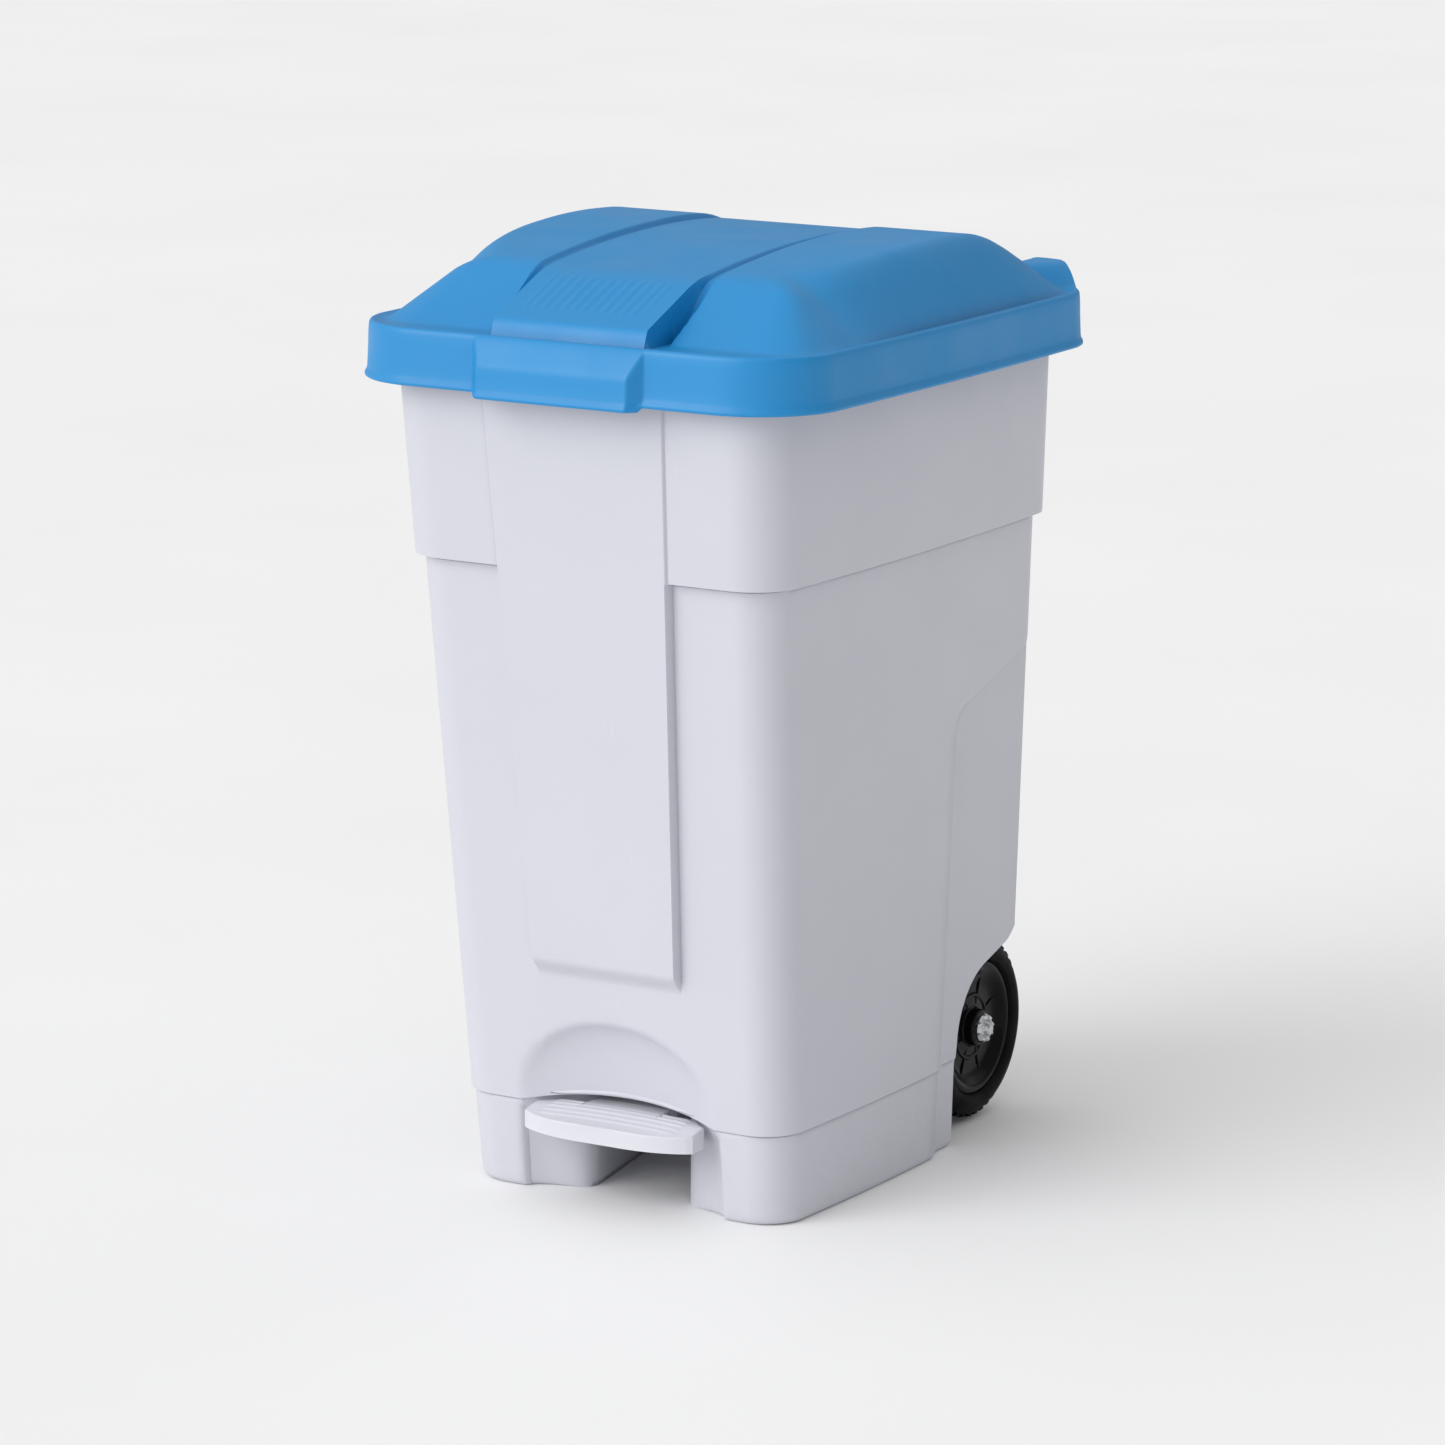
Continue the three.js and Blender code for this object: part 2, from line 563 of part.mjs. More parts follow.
add("axle", barX(AXLE_RADIUS, [-WHEEL.x - 22, WHEEL.x + 22], WHEEL.y, WHEEL.z), STEEL);

for (const [where, z] of Object.entries(GUIDE_HEIGHTS)) {
  add(`rod_guide_${where}`, rodGuide(z), WHITE);
}

for (const [side, sign] of [["left", -1], ["right", 1]]) {
  // Everything here is built for the right side, and half a turn about Z faces it the other way.
  const turned = (mesh) => {
    if (sign < 0) mesh.rotation.z = Math.PI;
    return mesh;
  };
  const wheelPlace = [sign * WHEEL.x, WHEEL.y, WHEEL.z];
  turned(add(`wheel_rim_${side}`, wheelRim(), BLACK, wheelPlace));
  turned(add(`tyre_${side}`, tyre(), RUBBER, wheelPlace));
  turned(add(`axle_spacer_${side}`, collar(AXLE_RADIUS + GAP, 11, 4.4), BLACK,
    [sign * (POCKET_X + GAP), WHEEL.y, WHEEL.z]));
  turned(add(`axle_cap_${side}`, pushCap(AXLE_RADIUS + GAP, 12, 11), STEEL,
    [sign * (WHEEL.x + 14.4), WHEEL.y, WHEEL.z]));
  turned(add(`pivot_clip_${side}`, collar(PIVOT.radius + GAP, 9, 3), STEEL,
    [sign * (36 + GAP), PIVOT.y, PIVOT.z]));
  add(`lid_hinge_pin_${side}`, barX(HINGE.pinRadius, [-15, 15], 0, 0), STEEL,
    [sign * 122, HINGE.y, HINGE.z]);
  add(`lever_screw_${side}`, screw(12), STEEL, [sign * 15, 182, LEVER_PLATE[0] - GAP]);
  for (const [where, z] of Object.entries(GUIDE_HEIGHTS)) {
    const place = [sign * 32, BACK_WALL + 3 + GAP, z];
    add(`guide_screw_${where}_${side}`, screw(12), STEEL, place).rotation.x = Math.PI / 2;
  }
}

for (const [index, [x, y]] of pedalScrewPlaces().entries()) {
  add(`pedal_screw_${index + 1}`, screw(8), STEEL, [x, y, 61.5 - GAP]);
}

export default bin;
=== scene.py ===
"""Pedal bin on two wheels: the looks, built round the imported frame.

The pieces are modelled in millimetres in the frame's own axes and turned to metres at the end.
+X is the bin's side, +Y its back and +Z up.
"""
import math

import bmesh
import bpy
from bpy.props import (
    FloatProperty, FloatVectorProperty, IntProperty, PointerProperty)
from mathutils import Matrix, Vector


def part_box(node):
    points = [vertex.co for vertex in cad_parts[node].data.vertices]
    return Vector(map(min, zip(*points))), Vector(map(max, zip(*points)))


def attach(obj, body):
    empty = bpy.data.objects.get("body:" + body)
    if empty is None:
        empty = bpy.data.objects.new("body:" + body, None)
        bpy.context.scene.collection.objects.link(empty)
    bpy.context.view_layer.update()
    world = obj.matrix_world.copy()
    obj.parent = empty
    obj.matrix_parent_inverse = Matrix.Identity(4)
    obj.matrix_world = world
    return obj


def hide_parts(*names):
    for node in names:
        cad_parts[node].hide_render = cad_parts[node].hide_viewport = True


bl_info = {
    "name": "Pedal bin",
    "version": (1, 0, 0),
    "blender": (4, 5, 0),
    "location": "3D View > Sidebar > Pedal bin",
    "description": "Builds the looks of a two-wheeled pedal bin round its packed frame",
    "category": "Object",
}

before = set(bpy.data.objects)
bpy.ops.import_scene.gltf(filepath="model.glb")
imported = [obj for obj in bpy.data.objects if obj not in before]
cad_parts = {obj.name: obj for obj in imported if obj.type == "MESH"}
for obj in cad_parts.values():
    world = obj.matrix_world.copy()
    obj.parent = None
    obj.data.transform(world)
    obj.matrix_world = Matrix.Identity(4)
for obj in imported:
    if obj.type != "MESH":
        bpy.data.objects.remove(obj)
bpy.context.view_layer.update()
MM = 0.001


def frame_box(node):
    """Lowest and highest corner of a CAD node, in millimetres."""
    low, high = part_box(node)
    return low / MM, high / MM


LID_LOW, LID_HIGH = frame_box("lid_shell")
PEDAL_LOW, PEDAL_HIGH = frame_box("pedal_pad")
TYRE_LOW, TYRE_HIGH = frame_box("tyre_right")
HANDLE_LOW, HANDLE_HIGH = frame_box("rear_handle_tube")
HINGE_PIN_LOW, HINGE_PIN_HIGH = frame_box("lid_hinge_pin_right")
WHEEL_CENTRE = (TYRE_LOW + TYRE_HIGH) / 2
HINGE = (HINGE_PIN_LOW + HINGE_PIN_HIGH) / 2


# ---------- numbers ----------
def ease(value, low, high):
    """Smooth step from 0 at low to 1 at high."""
    t = min(max((value - low) / (high - low), 0.0), 1.0)
    return t * t * (3.0 - 2.0 * t)


def mix(a, b, t):
    """The value a share t of the way from a to b."""
    return a + (b - a) * t


def smooth_min(a, b, radius):
    """The lesser of two values, rounded over where they cross."""
    h = max(radius - abs(a - b), 0.0) / radius
    return min(a, b) - h * h * radius / 4.0


def smooth_max(a, b, radius):
    """The greater of two values, rounded over where they cross."""
    return -smooth_min(-a, -b, radius)


def spans(start, *stretches):
    """Values from start through each (end, steps) stretch, evenly spaced within a stretch."""
    values = [start]
    for end, steps in stretches:
        first = values[-1]
        values += [mix(first, end, (step + 1) / steps) for step in range(steps)]
    return values


def both_sides(values):
    """Mirrors a list that starts at 0 to its negative side."""
    return [-value for value in reversed(values[1:])] + values


# ---------- mesh helpers ----------
def unique(items):
    """The items without repeats, in the order they come in."""
    return list(dict.fromkeys(items))


def shaped_grid(bm, columns, rows, place):
    """A grid whose vertices go where place(column, row) says. Returns rows of vertices."""
    width, height = len(columns) - 1, len(rows) - 1
    made = bmesh.ops.create_grid(bm, x_segments=width, y_segments=height, size=1.0)
    lines = [[None] * (width + 1) for _ in range(height + 1)]
    for vert in made["verts"]:
        column = round((vert.co.x + 1.0) / 2.0 * width)
        row = round((vert.co.y + 1.0) / 2.0 * height)
        lines[row][column] = vert
    for row, line in enumerate(lines):
        for column, vert in enumerate(line):
            vert.co = place(columns[column], rows[row])
    return lines


def face_outwards(bm, faces, direction):
    """Flips a sheet whose faces look away from direction(centre)."""
    score = sum(face.normal.dot(direction(face.calc_center_median())) * face.calc_area()
                for face in faces)
    if score < 0:
        bmesh.ops.reverse_faces(bm, faces=faces)


def extruded_profile(bm, profile, low, high, axis="X"):
    """A flat outline of (a, b) pairs, extruded along an axis from low to high."""
    def place(a, b, c):
        return {"X": (c, a, b), "Y": (a, c, b), "Z": (a, b, c)}[axis]
    verts = [bm.verts.new(place(a, b, low)) for a, b in profile]
    face = bm.faces.new(verts)
    made = bmesh.ops.extrude_face_region(bm, geom=[face])
    moved = [item for item in made["geom"] if isinstance(item, bmesh.types.BMVert)]
    shift = Vector(place(0, 0, high - low))
    bmesh.ops.translate(bm, verts=moved, vec=shift)
    faces = unique(face for vert in verts + moved for face in vert.link_faces)
    bmesh.ops.recalc_face_normals(bm, faces=faces)
    return faces


def bevel_edges(bm, edges, width, segments=2):
    """Rounds edges over a width."""
    bmesh.ops.bevel(bm, geom=edges, offset=width, offset_type="OFFSET", affect="EDGES",
                    segments=segments, profile=0.5, material=-1, clamp_overlap=True)


def add_block(bm, profile, low, high, width, axis="X", angle=35.0):
    """An extruded outline with its edges rounded over a width."""
    faces = extruded_profile(bm, profile, low, high, axis)
    rims = unique(edge for face in faces for edge in face.edges
                  if edge.is_manifold and edge.calc_face_angle(0.0) > math.radians(angle))
    bevel_edges(bm, rims, width)


def spun(bm, profile, centre, steps, axis=(1, 0, 0)):
    """Turns a closed profile of (radius, along) pairs about an axis along X through centre."""
    verts = [bm.verts.new((centre[0] + along, centre[1], centre[2] + radius))
             for radius, along in profile]
    edges = [bm.edges.new((verts[i], verts[(i + 1) % len(verts)])) for i in range(len(verts))]
    bmesh.ops.spin(bm, geom=verts + edges, cent=centre, axis=axis, angle=2 * math.pi,
                   steps=steps, use_merge=True, use_duplicate=False)
    bmesh.ops.remove_doubles(bm, verts=bm.verts, dist=1e-4)


def arc(centre, radius, start, end, steps):
    """Points on an arc, angles in degrees."""
    return [(centre[0] + radius * math.cos(math.radians(mix(start, end, i / steps))),
             centre[1] + radius * math.sin(math.radians(mix(start, end, i / steps))))
            for i in range(steps + 1)]


def finish_piece(bm, name, body, material, replaces=(), smooth_angle=38.0):
    """Turns a bmesh in millimetres into a finished piece in metres that rides on a body."""
    bmesh.ops.scale(bm, verts=bm.verts, vec=(MM, MM, MM))
    bm.normal_update()
    for edge in bm.edges:
        edge.smooth = edge.is_manifold and edge.calc_face_angle(0.0) < math.radians(smooth_angle)
    for face in bm.faces:
        face.smooth = True
    mesh = bpy.data.meshes.new(name)
    bm.to_mesh(mesh)
    bm.free()
    mesh.materials.append(material)
    piece = bpy.data.objects.new(name, mesh)
    bpy.context.scene.collection.objects.link(piece)
    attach(piece, body)
    if replaces:
        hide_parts(*replaces)
    return piece


def add_wall(piece, thickness):
    """Gives a sheet its thickness, inwards, in millimetres."""
    modifier = piece.modifiers.new("Wall", "SOLIDIFY")
    modifier.thickness = thickness * MM
    modifier.offset = -1.0
    modifier.use_even_offset = False


# ---------- the lid ----------
LID_SWELL = 5.0            # the sides swell out by this at their middles
LID_HALF = LID_HIGH.x - LID_SWELL
LIP_REACH, LIP_HALF = 10.5, 74.5
LID_FRONT = LID_LOW.y + LIP_REACH
LID_BACK = LID_HIGH.y
LID_MIDDLE = (LID_FRONT + LID_BACK) / 2
LID_FRONT_RADIUS = 68.0
LID_BACK_RADIUS = 58.0
SHELF_Z = 686.0
SHELF_EDGE = 7.5           # the top sheet ends this far inside the rim's foot
DOME_FRONT, DOME_BACK, DOME_HALF = -225.0, 214.0, 189.5
HINGE_CUT_HALF = 184.5     # the rim is open between these at the back, for the swing
HOOD_HALF = 150.0


def lid_outline(x, y, out):
    """The point of the lid's outline, moved out by a distance, that is level with x, y."""
    side, along = math.copysign(1.0, x), abs(x)
    radius = LID_FRONT_RADIUS if y < LID_MIDDLE else LID_BACK_RADIUS
    corner_x = LID_HALF - radius
    corner_y = LID_FRONT + radius if y < LID_MIDDLE else LID_BACK - radius
    beyond_y = (y - corner_y) * (-1.0 if y < LID_MIDDLE else 1.0)
    if along > corner_x and beyond_y > 0.0:
        away = Vector((along - corner_x, y - corner_y)).normalized() * (radius + out)
        return side * (corner_x + away.x), corner_y + away.y
    if along / LID_HALF > abs(y - LID_MIDDLE) / (LID_BACK - LID_MIDDLE):
        return side * (LID_HALF + out), y
    return x, LID_FRONT - out if y < LID_MIDDLE else LID_BACK + out


def lid_plan(p, q):
    """Turns a place in a square from -1 to 1 into one inside the lid's rounded outline."""
    half_x = LID_HALF - SHELF_EDGE
    half_y = (LID_BACK - LID_FRONT) / 2 - SHELF_EDGE
    plain = Vector((half_x * p, LID_MIDDLE + half_y * q))
    reach = max(abs(p), abs(q))
    if reach < 0.5:
        return plain.x, plain.y, reach
    edge_x, edge_y = lid_outline(
        half_x * p / reach, LID_MIDDLE + half_y * q / reach, -SHELF_EDGE)
    bent = Vector((edge_x * reach, LID_MIDDLE + (edge_y - LID_MIDDLE) * reach))
    place = plain.lerp(bent, reach ** 6)
    return place.x, place.y, reach


def lobe_rise(x, y, lid):
    """Height of the dome's side lobes over the shelf: a front face, steep sides, a flat crown."""
    front = (y - DOME_FRONT) * 0.70
    side = (DOME_HALF - x) * max(2.5 - 1.35 * ((y - 35.0) / 165.0) ** 2, 0.95)
    back = (DOME_BACK - y) * 0.57
    crown = lid.dome_rise / MM - 14.0 * ((y - 30.0) / (187.0 if y < 30.0 else 150.0)) ** 2
    up = min(max(min(front, side) / 40.0, 0.0), 1.0)
    top = smooth_min(crown, side, 18.0)
    return smooth_min(smooth_min(smooth_min(top, front, 6.0), back, 18.0),
                      smooth_min(front, side, mix(38.0, 14.0, up)), 0.5)


def band_rise(y, lid):
    """Height of the middle band: a front step, a slanted grip and a low crown."""
    step = (y + 245.0) * 6.0
    slant = 14.5 + (y + 240.0) * 0.425
    length = 176.0 if y < 20.0 else 92.0
    crown = lid.dome_rise / MM - 2.4 - (12.0 if y < 20.0 else 5.0) * ((y - 20.0) / length) ** 2
    top = smooth_min(smooth_min(slant, crown, 4.0), (DOME_BACK - y) * 0.57, 16.0)
    return smooth_min(step, top, 5.0)


def grip_ribs(x, y, lid):
    """The shallow ribs on the slanted front of the band."""
    window = ease(y, -226, -220) * (1 - ease(y, -184, -176)) * (1 - ease(x, 50, 53))
    wave = 0.5 + 0.5 * math.cos(2 * math.pi * x / 8.6)
    return lid.rib_height / MM * window * ease(wave, 0.35, 0.8)


def hood_rise(x, y):
    """Height of the hinge hood over the shelf, with an ear at each end."""
    ridge = 16.5 + 4.5 * ease(x, 128, 139)
    start = 143.0 + 20.0 * ease(y, 188, 235)
    return ridge * (1 - ease(x, start, start + 26.0)) * ease(y, 183, 195)


def lid_height(x, y, reach, lid):
    """Height of the lid's top at a place: band, grooves beside it, lobes, hood and shelf."""
    x = abs(x)
    half = lid.band_width / MM / 2
    lobe, band = lobe_rise(x, y, lid), band_rise(y, lid)
    groove = min(lobe, band) - mix(14.0, 3.0, ease(y, -215, -140))
    inner_edge = half + 6.0 + 4.0 * ease(y, -235, -180)
    on_band = 1 - ease(x, half - 0.8, half + 1.4)
    on_lobe = ease(x, inner_edge - 2.5, inner_edge + 1.0)
    rise = band * on_band + lobe * on_lobe + groove * (1 - on_band - on_lobe)
    rise += grip_ribs(x, y, lid) * on_band
    rise = smooth_max(rise, hood_rise(x, y), 2.5)
    shelf = 2.2 * ease(reach, 0.962, 1.0)
    return SHELF_Z + smooth_max(rise, shelf, 2.0)


# Rim rows from the shelf down: distance out from the rim's foot line, height.
RIM_ROWS = [
    (-6.2, 688.6), (-4.8, 687.9), (-3.9, 686.6), (-3.5, 684.8), (-3.3, 682.6), (-3.1, 679.6),
    (-3.0, 676.0), (-2.9, 672.0), (-2.8, 668.5), (-2.7, 666.2), (-2.6, 663.5), (-2.4, 659.0),
    (-2.1, 653.0), (-1.7, 650.6), (-1.0, 649.3), (-0.3, 648.2), (0.0, 646.8), (-0.3, 645.6),
    (-1.2, 645.0),
]
LID_LOW_RIM = RIM_ROWS[-1][1]
LIP_DROP_FROM = 655.0      # below this height the hand lip hangs lower than the rim


def lip_reach(x, z):
    """How far the hand lip stands out in front of the rim."""
    over = min(max((687.0 - z) / 20.0, 0.0), 1.3)
    inside = min(max((LIP_HALF - abs(x)) / 9.0, 0.0), 1.3)
    return LIP_REACH * min(max(smooth_min(smooth_min(over, inside, 0.18), 1.0, 0.12), 0.0), 1.0)


def add_lid_rim(bm):
    """Extrudes the top sheet's edge down through the rim's rows, with the hand lip in front."""
    loop = [edge for edge in bm.edges if edge.is_boundary]
    raised = {}
    for edge in loop:
        for vert in edge.verts:
            raised[vert] = max(vert.co.z - RIM_ROWS[0][1] + 0.4, 0.0)
    for out, z in RIM_ROWS:
        made = bmesh.ops.extrude_edge_only(bm, edges=loop)["geom"]
        loop = [item for item in made if isinstance(item, bmesh.types.BMEdge)]
        fresh = {item for item in made if isinstance(item, bmesh.types.BMVert)}
        lifted = {}
        for vert in fresh:
            source = next(e.other_vert(vert) for e in vert.link_edges
                          if e.other_vert(vert) not in fresh)
            lifted[vert] = raised[source]
            x, y = lid_outline(vert.co.x, vert.co.y, out)
            height = z + raised[source] * ease(z, 680.5, 687.0)
            if y < LID_MIDDLE:
                y = min(y, LID_FRONT - out - lip_reach(x, z)) if abs(x) < 76 else y
                if z < LIP_DROP_FROM:
                    height -= (LID_LOW_RIM - LID_LOW.z) * ease(LIP_HALF - abs(x), 0.0, 3.0)
            vert.co = (x, y, height)
        raised = lifted


def swell(x, y, half, middle, length, amount):
    """Pushes a point out sideways where the sides bow."""
    bend = max(1.0 - ((y - middle) / length) ** 2, 0.0)
    return x + math.copysign(amount * bend * (abs(x) / half) ** 2, x)


def behind_hinge(face):
    """True for the part of the rim that is left out at the back, for the swing."""
    centre = face.calc_center_median()
    top = HINGE.z if abs(centre.x) < HOOD_HALF else SHELF_Z - 1.0
    return centre.y > 196.0 and abs(centre.x) < HINGE_CUT_HALF and centre.z < top


def build_lid_sheet(lid):
    """The lid's outer surface, from the crown to the rim's lower edge."""
    bm = bmesh.new()
    half_x = LID_HALF - SHELF_EDGE
    half_y = (LID_BACK - LID_FRONT) / 2 - SHELF_EDGE
    columns = both_sides(spans(0.0, (52, 48), (64, 6), (82, 18), (128, 12), (half_x, 16)))
    rows = spans(LID_MIDDLE - half_y, (-241, 5), (-231, 12), (-150, 36), (-60, 12), (110, 18),
                 (176, 10), (200, 14), (LID_MIDDLE + half_y, 12))

    def place(column, row):
        x, y, reach = lid_plan(column / half_x, (row - LID_MIDDLE) / half_y)
        return x, y, lid_height(x, y, reach, lid)

    shaped_grid(bm, columns, rows, place)
    add_lid_rim(bm)
    bmesh.ops.delete(bm, geom=[face for face in bm.faces if behind_hinge(face)], context="FACES")
    for vert in bm.verts:
        vert.co.x = swell(vert.co.x, vert.co.y, LID_HALF, LID_MIDDLE,
                          (LID_BACK - LID_FRONT) / 2, LID_SWELL)
    bmesh.ops.recalc_face_normals(bm, faces=bm.faces)
    face_outwards(bm, bm.faces[:], lambda centre: Vector((centre.x, centre.y, 300.0)))
    return bm


def add_knuckles(bm, places, low_z, z, radius):
    """Hinge knuckles: an upright web that ends in a round boss about the hinge pin."""
    for low, high in places:
        profile = [(HINGE.y - radius, low_z), (HINGE.y - radius, z)]
        turn = 180.0 if low_z > z else -180.0
        profile += arc((HINGE.y, z), radius, 180.0, 180.0 + turn, 14)
        profile += [(HINGE.y + radius, low_z)]
        add_block(bm, profile, low, high, 0.6, angle=50.0)


# ---------- the tub ----------
TUB_TOP = 682.0
SKIRT_TOP = 74.0
COLLAR_BOTTOM = 507.0
BACK_WALL, TUB_BACK = 229.0, 236.0    # the back at the foot, and at the collar
CORNER_RADIUS = 31.0
TUB_SWELL = 6.5
WAIST_HALF, WAIST_FRONT = 146.0, -172.0       # half width and front of the wall over the skirt
SIDE_SLOPE, FRONT_SLOPE = 0.0277, 0.1055      # how they grow with height
MOUTH_HALF = 87.5                     # of the opening between the front feet
POCKET_RADIUS = 82.0                  # of the wheel pocket, about the wheel's centre
POCKET_FRONT = WHEEL_CENTRE.y - POCKET_RADIUS
POCKET_X = 84.0                       # its inner wall
MOUTH_Y = -170.0                      # where the passage under the floor starts
NARROW_HALF, NARROW_Y = 41.0, -137.0  # its narrow place between the feet
TUNNEL_HALF, TUNNEL_CEILING = 64.0, 100.0
CHANNEL_HALF, CHANNEL_FLOOR = 22.0, 199.0     # the push rod's groove
GRIP_HALF, GRIP_FLOOR, GRIP_LOW, GRIP_HIGH = 82.0, 212.0, 578.0, 650.0
REAR_RIM_DROP = 2.8                   # the rim is lower at the back, where the hood swings down


def dip(value, middle, width, depth):
    """A fine rounded line pressed into a surface."""
    return depth * math.exp(-((value - middle) / width) ** 2)


def wall_offset(z, tub):
    """How far the plain wall stands out at a height: foot, skirt, wall and collar."""
    round_foot = 5.0 * (1.0 - math.sqrt(1.0 - (max(7.0 - z, 0.0) / 7.0) ** 2))
    collar = tub.collar_step / MM * ease(z, COLLAR_BOTTOM - 0.9, COLLAR_BOTTOM + 0.9)
    seams = dip(z, SKIRT_TOP - 0.7, 0.6, 0.9) + dip(z, COLLAR_BOTTOM - 0.8, 0.5, 0.9)
    return -2.0 + 2.0 * ease(z, SKIRT_TOP - 0.9, SKIRT_TOP + 0.5) + collar - round_foot - seams


def panel_half(z):
    """Half width of the raised front panel."""
    return 64.5 + (z - 196.0) * 0.0325


def wall_section(z, tub):
    """Half width, front, back and corner radius of the tub at a height."""
    out = wall_offset(z, tub)
    rise = z - SKIRT_TOP
    half = WAIST_HALF + rise * SIDE_SLOPE + out
    front = WAIST_FRONT - rise * FRONT_SLOPE - out
    return half, front, BACK_WALL + out, CORNER_RADIUS + max(out, 0.0) * 0.8


def front_lip(x):
    """Height of the opening's upper edge between the feet."""
    return SKIRT_TOP + 9.5 * max(1.0 - (x / MOUTH_HALF) ** 2, 0.0)


def arch_height(y):
    """Lower edge of the side wall over the wheel."""
    y = max(y, POCKET_FRONT)
    if y < 161.2:
        return 84.0 + math.sqrt(max(61.0 ** 2 - (176.0 - y) ** 2, 0.0))
    return 143.2 + (y - 161.2) * 0.25 + 20.0 * (max(y - 198.0, 0.0) / 31.0) ** 2


def recess_edge(z):
    """Where the sunk rear part of the side begins."""
    return 77.0 + 0.02 * min(z, 350.0)


def recess_top(y):
    """Height of the sunk part's slanted top."""
    return 368.0 + max(y - 96.0, 0.0) * 0.2816


def in_recess(y, z):
    """Signed distance into the sunk rear part of the side wall."""
    return smooth_min(y - recess_edge(z), (recess_top(y) - z) * 0.96, 22.0)


def foot_turn(x, z):
    """How far the skirt's front turns in towards the opening between the feet."""
    near = min(max((MOUTH_HALF + 8.0 - abs(x)) / 8.0, 0.0), 1.0)
    return 6.0 * (1.0 - math.sqrt(1.0 - near ** 2)) * (1 - ease(z, 62.0, SKIRT_TOP - 1.0))


def front_surface(x, z, tub):
    """The front face at a place: wall, raised panel, scoop over the pedal."""
    plain = WAIST_FRONT - (z - SKIRT_TOP) * FRONT_SLOPE
    wall = wall_offset(z, tub)
    proud = max(wall, tub.panel_proud / MM * ease(z, 181.0, 197.0))
    on_panel = 1 - ease(abs(x) - panel_half(z), -0.8, 0.8)
    y = plain - mix(wall, proud, on_panel)
    if z > 190.0:
        y += dip(abs(x) - panel_half(z), 1.3, 0.6, 0.5)
    reach = (x / 97.0) ** 2 + ((z - SKIRT_TOP) / 75.0) ** 2
    if z < SKIRT_TOP - 1 or reach > 1.0:
        return y + foot_turn(x, z)
    scoop = -186.0 + tub.scoop_depth / MM * 1.5 * math.sqrt(1.0 - reach)
    return smooth_max(y, scoop, 2.0)


def back_surface(x, z, tub):
    """The back face: wall, hand recess behind the handle, groove for the push rod."""
    y = BACK_WALL + wall_offset(z, tub)
    grip = (1 - ease(abs(x) - GRIP_HALF, -0.8, 0.8)) * ease(z, GRIP_LOW - 0.8, GRIP_LOW + 0.8)
    grip *= 1 - ease(z, GRIP_HIGH - 0.8, GRIP_HIGH + 0.8)
    y = mix(y, GRIP_FLOOR, grip)
    return mix(y, CHANNEL_FLOOR, 1 - ease(abs(x) - CHANNEL_HALF, -0.7, 0.7))


def tub_columns():
    """Half of the tub's outline from the front's middle to the back's, as named stretches."""
    names = (
        ("panel", spans(0.0, (1.0, 14))),
        ("edge", (0.2, 0.34, 0.42, 0.5, 0.58, 0.66, 0.8, 1.0)),
        ("cheek", spans(0.25, (1.0, 3))),
        ("front", (0.08, 0.16, 0.24, 0.32, 0.5, 0.75, 1.0)),
        ("front_corner", spans(5.0, (90.0, 17))),
        ("flank", spans(0.08, (1.0, 11))),
        ("notch", (0.13, 0.24, 0.35, 0.46, 0.57, 0.68, 0.79, 1.0)),
        ("saddle", spans(0.2, (1.0, 4))),
        ("wheel", spans(POCKET_FRONT, (115.7, 1), (118, 1), (122, 1), (135, 2), (192, 7))),
        ("back_corner", spans(0.0, (90.0, 15))),
        ("back_side", spans(0.25, (1.0, 3))),
        ("back", (POCKET_X + 0.5, POCKET_X - 0.3, GRIP_HALF + 0.8, GRIP_HALF, GRIP_HALF - 0.8,
                  70, 50, 35, CHANNEL_HALF + 0.8, CHANNEL_HALF + 0.2, CHANNEL_HALF - 0.2,
                  CHANNEL_HALF - 0.8, 15.5, 14.8, 8, 0)),
    )
    return [(stretch, value) for stretch, values in names for value in values]


def tub_floor_height(stretch, x, y):
    """The height that the skirt's top row goes to in a column."""
    if stretch in ("panel", "edge", "cheek"):
        return front_lip(x)
    if stretch in ("back_side", "back"):
        return arch_height(BACK_WALL) if x > POCKET_X else TUNNEL_CEILING
    if stretch in ("wheel", "back_corner"):
        return arch_height(y)
    return SKIRT_TOP


def tub_plan(stretch, value, z, tub):
    """Place in plan of a column at a height, before the recess and the swell."""
    half, front, back, radius = wall_section(z, tub)
    panel = panel_half(z)
    if stretch == "panel":
        return value * (panel - 3.0), front
    if stretch == "edge":
        return panel - 3.0 + 6.0 * value, front
    if stretch == "cheek":
        return mix(panel + 3.0, MOUTH_HALF, value), front
    if stretch == "front":
        return mix(MOUTH_HALF, half - radius, value), front
    if stretch == "front_corner":
        turn = math.radians(value)
        return (half - radius + radius * math.sin(turn), front + radius - radius * math.cos(turn))
    if stretch == "flank":
        return half, mix(front + radius, recess_edge(z) - 3.5, value)
    if stretch == "notch":
        return half, recess_edge(z) - 3.5 + 7.0 * value
    if stretch == "saddle":
        return half, mix(recess_edge(z) + 3.5, POCKET_FRONT - 1.5, value)
    if stretch == "wheel":
        return half, value
    if stretch == "back_corner":
        turn = math.radians(value)
        return half - radius + radius * math.cos(turn), back - radius + radius * math.sin(turn)
    if stretch == "back_side":
        return mix(half - radius, POCKET_X + 6.0, value), back
    return value, back


